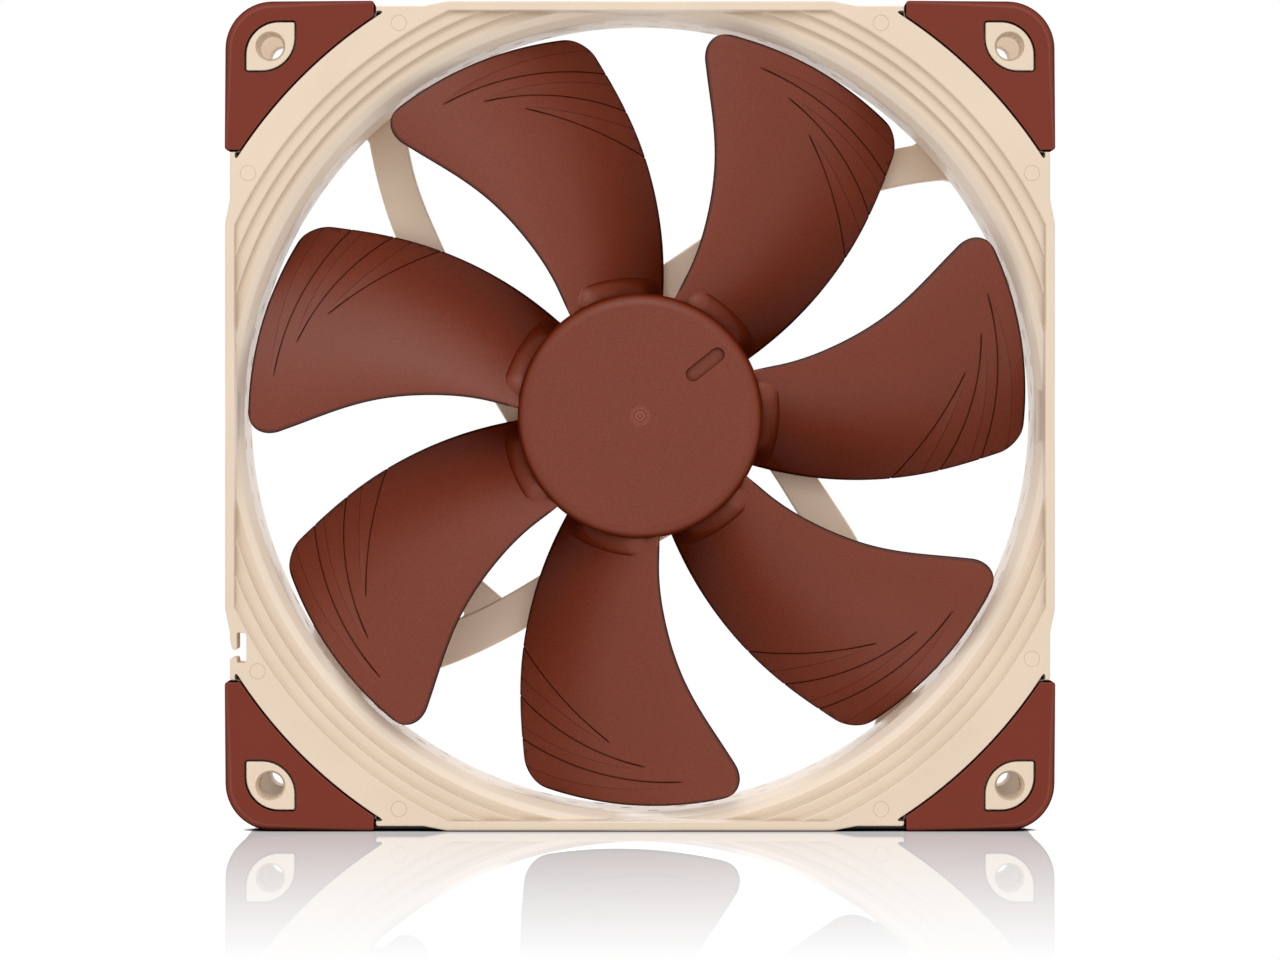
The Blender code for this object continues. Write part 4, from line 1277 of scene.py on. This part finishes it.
def polish_and_gleam_duct(material):
    """The wall that the blades sweep past is smoother than the rest of the frame, and painted paler as a
    stand-in for light gleaming along it.
    """
    tree = material.node_tree
    shader = tree.nodes["Principled BSDF"]
    sideways = remap(tree, face_on(tree), 1.0, 0.0, *WALL_TURN)
    band = axis_band(tree, THROAT_RADIUS - 0.3, DUCT_POLISH_END, DUCT_POLISH_SOFT)
    wall = multiplied(tree, sideways, band)
    rough = shader.inputs["Roughness"].links[0].from_socket
    polished = multiplied(tree, rough, remap(tree, wall, 1.0, DUCT_POLISH))
    tree.links.new(polished, shader.inputs["Roughness"])
    # painted light: a paler colour in place of the gleam along the wall
    colour = shader.inputs["Base Color"].links[0].from_socket
    paler = mixed(tree, remap(tree, wall, 0.0, DUCT_PAINTED_GLEAM), colour, (*DUCT_GLEAM_COLOUR, 1))
    tree.links.new(paler, shader.inputs["Base Color"])


def finish_impeller(material):
    """Painted shade as dark lines along the blades' edges, and the paler point where the plastic was let
    into the mould.
    """
    tree = material.node_tree
    shader = tree.nodes["Principled BSDF"]
    point = axis_band(tree, -1.0, GATE_NUB, 0.1)
    ring = axis_band(tree, GATE_RADIUS - GATE_LINE, GATE_RADIUS + GATE_LINE, 0.1)
    marks = math_node(tree, "MAXIMUM", point, ring)
    colour = shader.inputs["Base Color"].links[0].from_socket
    paler = mixed(tree, remap(tree, marks, 0.0, GATE_PALER), colour, (*GATE_COLOUR, 1))
    edge = add_node(tree, "ShaderNodeAttribute", attribute_name="blade_edge").outputs["Fac"]
    edge_shaded = shade(tree, paler, remap(tree, edge, 1.0, BLADE_EDGE_SHADE, 0.3, 1.0))
    tree.links.new(edge_shaded, shader.inputs["Base Color"])


def metal(name, colour, roughness, lines=(1.0, 1.0, 1.0), wear=0.1):
    """A turned, ground or drawn metal, with fine streaks where lines stretch the noise."""
    material, tree, shader, coordinates = new_material(name)
    stretched = add_node(tree, "ShaderNodeMapping", {"Vector": coordinates, "Scale": lines})
    fine = noise(tree, stretched.outputs["Vector"], 0.3, 3.0)
    tree.links.new(shade(tree, colour, spread(tree, fine, 1.0, wear)), shader.inputs["Base Color"])
    tree.links.new(spread(tree, fine, roughness, METAL_SPREAD), shader.inputs["Roughness"])
    shader.inputs["Metallic"].default_value = 1.0
    add_bump(tree, fine, 0.4, METAL_RELIEF)
    return material


def striped(name, light, dark, pitch, roughness):
    """Metal in close stripes across the fan's axis: the turns of a winding, or the sheets of a core."""
    material, tree, shader, coordinates = new_material(name)
    inputs = {"Vector": coordinates, "Scale": WAVE_PITCH / (pitch * MM), "Distortion": 0.2}
    wave = add_node(tree, "ShaderNodeTexWave", inputs, bands_direction="Y").outputs["Fac"]
    tree.links.new(mixed(tree, wave, (*dark, 1), (*light, 1)), shader.inputs["Base Color"])
    shader.inputs["Roughness"].default_value = roughness
    shader.inputs["Metallic"].default_value = 1.0
    add_bump(tree, wave, 0.8, pitch / 3)
    return material


def board_material():
    """Green solder mask over faint copper tracks."""
    material, tree, shader, coordinates = new_material("board_mask")
    inputs = {"Vector": coordinates, "Scale": 1 / (TRACK_PITCH * MM)}
    cells = add_node(tree, "ShaderNodeTexVoronoi", inputs, feature="DISTANCE_TO_EDGE")
    track = remap(tree, cells.outputs["Distance"], 1.0, 0.0, 0.05, 0.09)
    colour = mixed(tree, track, (0.012, 0.09, 0.035, 1), (0.03, 0.2, 0.07, 1))
    tree.links.new(colour, shader.inputs["Base Color"])
    shader.inputs["Roughness"].default_value = 0.35
    add_bump(tree, track, 0.6, TRACK_HEIGHT)
    return material


def dress_inner_nodes():
    """Better materials for the CAD nodes that show as they are."""
    steel = metal("ground_steel", (0.56, 0.57, 0.58), 0.3, (1.0, 12.0, 1.0))
    magnet = moulded("bonded_magnet", (0.05, 0.05, 0.055), 0.55, 0.2, 0.2, 1.3, 0.01)
    polymer = moulded("black_polymer", (0.02, 0.02, 0.021), 0.45, 0.15, 0.1, 1.5, 0.008)
    epoxy = moulded("chip_epoxy", (0.028, 0.028, 0.03), 0.5, 0.1, 0.15, 1.5, 0.006)
    nylon = moulded("insulator_nylon", (0.74, 0.71, 0.64), 0.45, 0.2, 0.04, 1.1, 0.008)
    laminations = striped("laminations", (0.42, 0.43, 0.45), (0.16, 0.16, 0.17), 0.5, 0.4)
    winding = striped("enamelled_copper", (0.75, 0.32, 0.12), (0.3, 0.09, 0.03), 0.35, 0.3)
    materials = {
        "steel": steel,
        "magnet": magnet,
        "brass": metal("turned_brass", (0.78, 0.57, 0.22), 0.25, (1.0, 12.0, 1.0)),
        "sintered_bronze": metal("sintered_bronze", (0.45, 0.33, 0.2), 0.55, wear=0.3),
        "black_polymer": polymer,
        "lamination_steel": laminations,
        "insulator_polymer": nylon,
        "copper_wire": winding,
        "circuit_board": board_material(),
        "chip_epoxy": epoxy,
        "ceramic": moulded("ceramic_body", (0.5, 0.37, 0.24), 0.35, 0.12, 0.06, 1.1, 0.004),
        "label_film": moulded("label_film", (0.21, 0.062, 0.045), 0.38, 0.6, 0.03, 1.1, 0.004),
    }
    shown = {"frame", "impeller"}
    for part in frame["record"]["subparts"]:
        node, slot = part["node"], part["material_slot"]
        if node in shown or slot == "pad_rubber":
            continue
        for material_slot in frame["nodes"][node].material_slots:
            material_slot.material = materials[slot]


# Stage


def seen_or_lit(tree):
    """Full white where it is seen, also in the floor's mirror, and the studio's light level as light."""
    path = add_node(tree, "ShaderNodeLightPath").outputs
    seen = math_node(tree, "MAXIMUM", path["Is Camera Ray"], path["Is Singular Ray"])
    return remap(tree, seen, STUDIO_LIGHT, 1.0)


def stage_material():
    """A white floor that mirrors the fan near where it stands and fades to plain white away from it, with
    painted shadow dimming its light and mirror where it meets the fan and under it.
    """
    material, tree, shader, coordinates = new_material("studio_floor")
    tree.nodes.remove(shader)
    place = add_node(tree, "ShaderNodeSeparateXYZ", {"Vector": coordinates})
    away = math_node(tree, "ABSOLUTE", place.outputs["Y"])
    gloss = remap(tree, away, FLOOR_GLOSS, 0.0, REAR * MM, FLOOR_FADE)
    contact = add_node(tree, "ShaderNodeAmbientOcclusion", {"Distance": CONTACT_REACH * MM}, samples=8)
    shadow = remap(tree, contact.outputs["AO"], 0.0, 1.0, *CONTACT_SHADOW)
    across = math_node(tree, "ABSOLUTE", place.outputs["X"])
    beside = remap(tree, across, UNDER_LIGHT, 1.0, UNDER_WIDTH * MM, (UNDER_WIDTH + UNDER_SOFT_SIDE) * MM)
    before = remap(tree, away, UNDER_LIGHT, 1.0, (REAR - UNDER_SOFT_END) * MM, REAR * MM)
    shadow = multiplied(tree, shadow, math_node(tree, "MAXIMUM", beside, before))
    strength = multiplied(tree, seen_or_lit(tree), shadow)
    white = add_node(tree, "ShaderNodeEmission", {"Color": (1, 1, 1, 1), "Strength": strength})
    tint = shade(tree, MIRROR_TINT, shadow)
    mirror = add_node(tree, "ShaderNodeBsdfGlossy", {"Color": tint, "Roughness": 0.0})
    mix = add_node(tree, "ShaderNodeMixShader", {"Fac": gloss})
    tree.links.new(white.outputs["Emission"], mix.inputs[1])
    tree.links.new(mirror.outputs["BSDF"], mix.inputs[2])
    tree.links.new(mix.outputs["Shader"], tree.nodes["Material Output"].inputs["Surface"])
    return material


def build_floor():
    mesh = bpy.data.meshes.new("studio_floor")
    half = FLOOR_SIDE / 2
    level = cad_box[0][2]
    corners = [(-half, -half, level), (half, -half, level), (half, half, level), (-half, half, level)]
    mesh.from_pydata(corners, [], [(0, 1, 2, 3)])
    mesh.materials.append(stage_material())
    floor = bpy.data.objects.new("studio_floor", mesh)
    bpy.context.scene.collection.objects.link(floor)


def build_world():
    """White all round: plain white behind the fan, and softer as light."""
    world = bpy.data.worlds.new("studio")
    world.use_nodes = True
    tree = world.node_tree
    background = tree.nodes["Background"]
    background.inputs["Color"].default_value = (1, 1, 1, 1)
    tree.links.new(seen_or_lit(tree), background.inputs["Strength"])
    bpy.context.scene.world = world


def add_light(name, place, size, power):
    """A square soft light aimed at the fan."""
    lamp = bpy.data.lights.new(name, "AREA")
    lamp.size = size
    lamp.energy = power
    light = bpy.data.objects.new(name, lamp)
    light.location = place
    light.rotation_euler = (-Vector(place)).to_track_quat("-Z", "Y").to_euler()
    bpy.context.scene.collection.objects.link(light)
    return light


def build_lights():
    add_light("top_light", (0.0, -0.35, 1.1), 0.6, 1.1)
    add_light("front_light", (-0.05, -0.85, 0.7), 0.45, 2.15)
    add_light("camera_side_light", (0.0, -1.2, 0.35), 0.5, 0.6)
    add_light("rear_light", (0.0, 0.9, 0.8), 0.8, 3.0)
    # The bright backdrop, which gleams along the duct wall. It looks no whiter than the white world.
    backdrop = add_light("backdrop_light", (0.0, 2.0, 0.0), 1.2, 1.5)
    backdrop.visible_camera = False


def build_camera():
    """Straight on, level with the fan's middle, with the view shifted down a little."""
    lens = bpy.data.cameras.new("camera")
    lens.lens = LENS
    lens.sensor_width = SENSOR_WIDTH
    lens.shift_y = VIEW_SHIFT
    camera = bpy.data.objects.new("camera", lens)
    camera.location = (0.0, -CAMERA_DISTANCE, 0.0)
    camera.rotation_euler = (math.radians(90), 0.0, 0.0)
    bpy.context.scene.collection.objects.link(camera)
    bpy.context.scene.camera = camera


def main():
    cream = moulded("cream_plastic", (0.775, 0.625, 0.475), 0.42, 0.18, 0.015, 1.05, 0.004, crevice_shade=0.4)
    polish_and_gleam_duct(cream)
    brown = moulded("brown_plastic", BROWN_PAINTED_SHADE_COLOURS, 0.4, 0.22, 0.22, 0.65, 0.04, specular=0.38, crevice_shade=0.2)
    finish_impeller(brown)
    rubber = moulded("brown_rubber", RUBBER_PAINTED_LIGHT_COLOURS, 0.65, 0.12, 0.04, 0.8, 0.006, specular=0.25, crevice_shade=0.6)
    build_frame(cream)
    build_pads(rubber)
    build_impeller(brown)
    dress_inner_nodes()
    build_floor()
    build_world()
    build_lights()
    build_camera()
    bpy.context.scene.view_settings.view_transform = "Standard"


main()
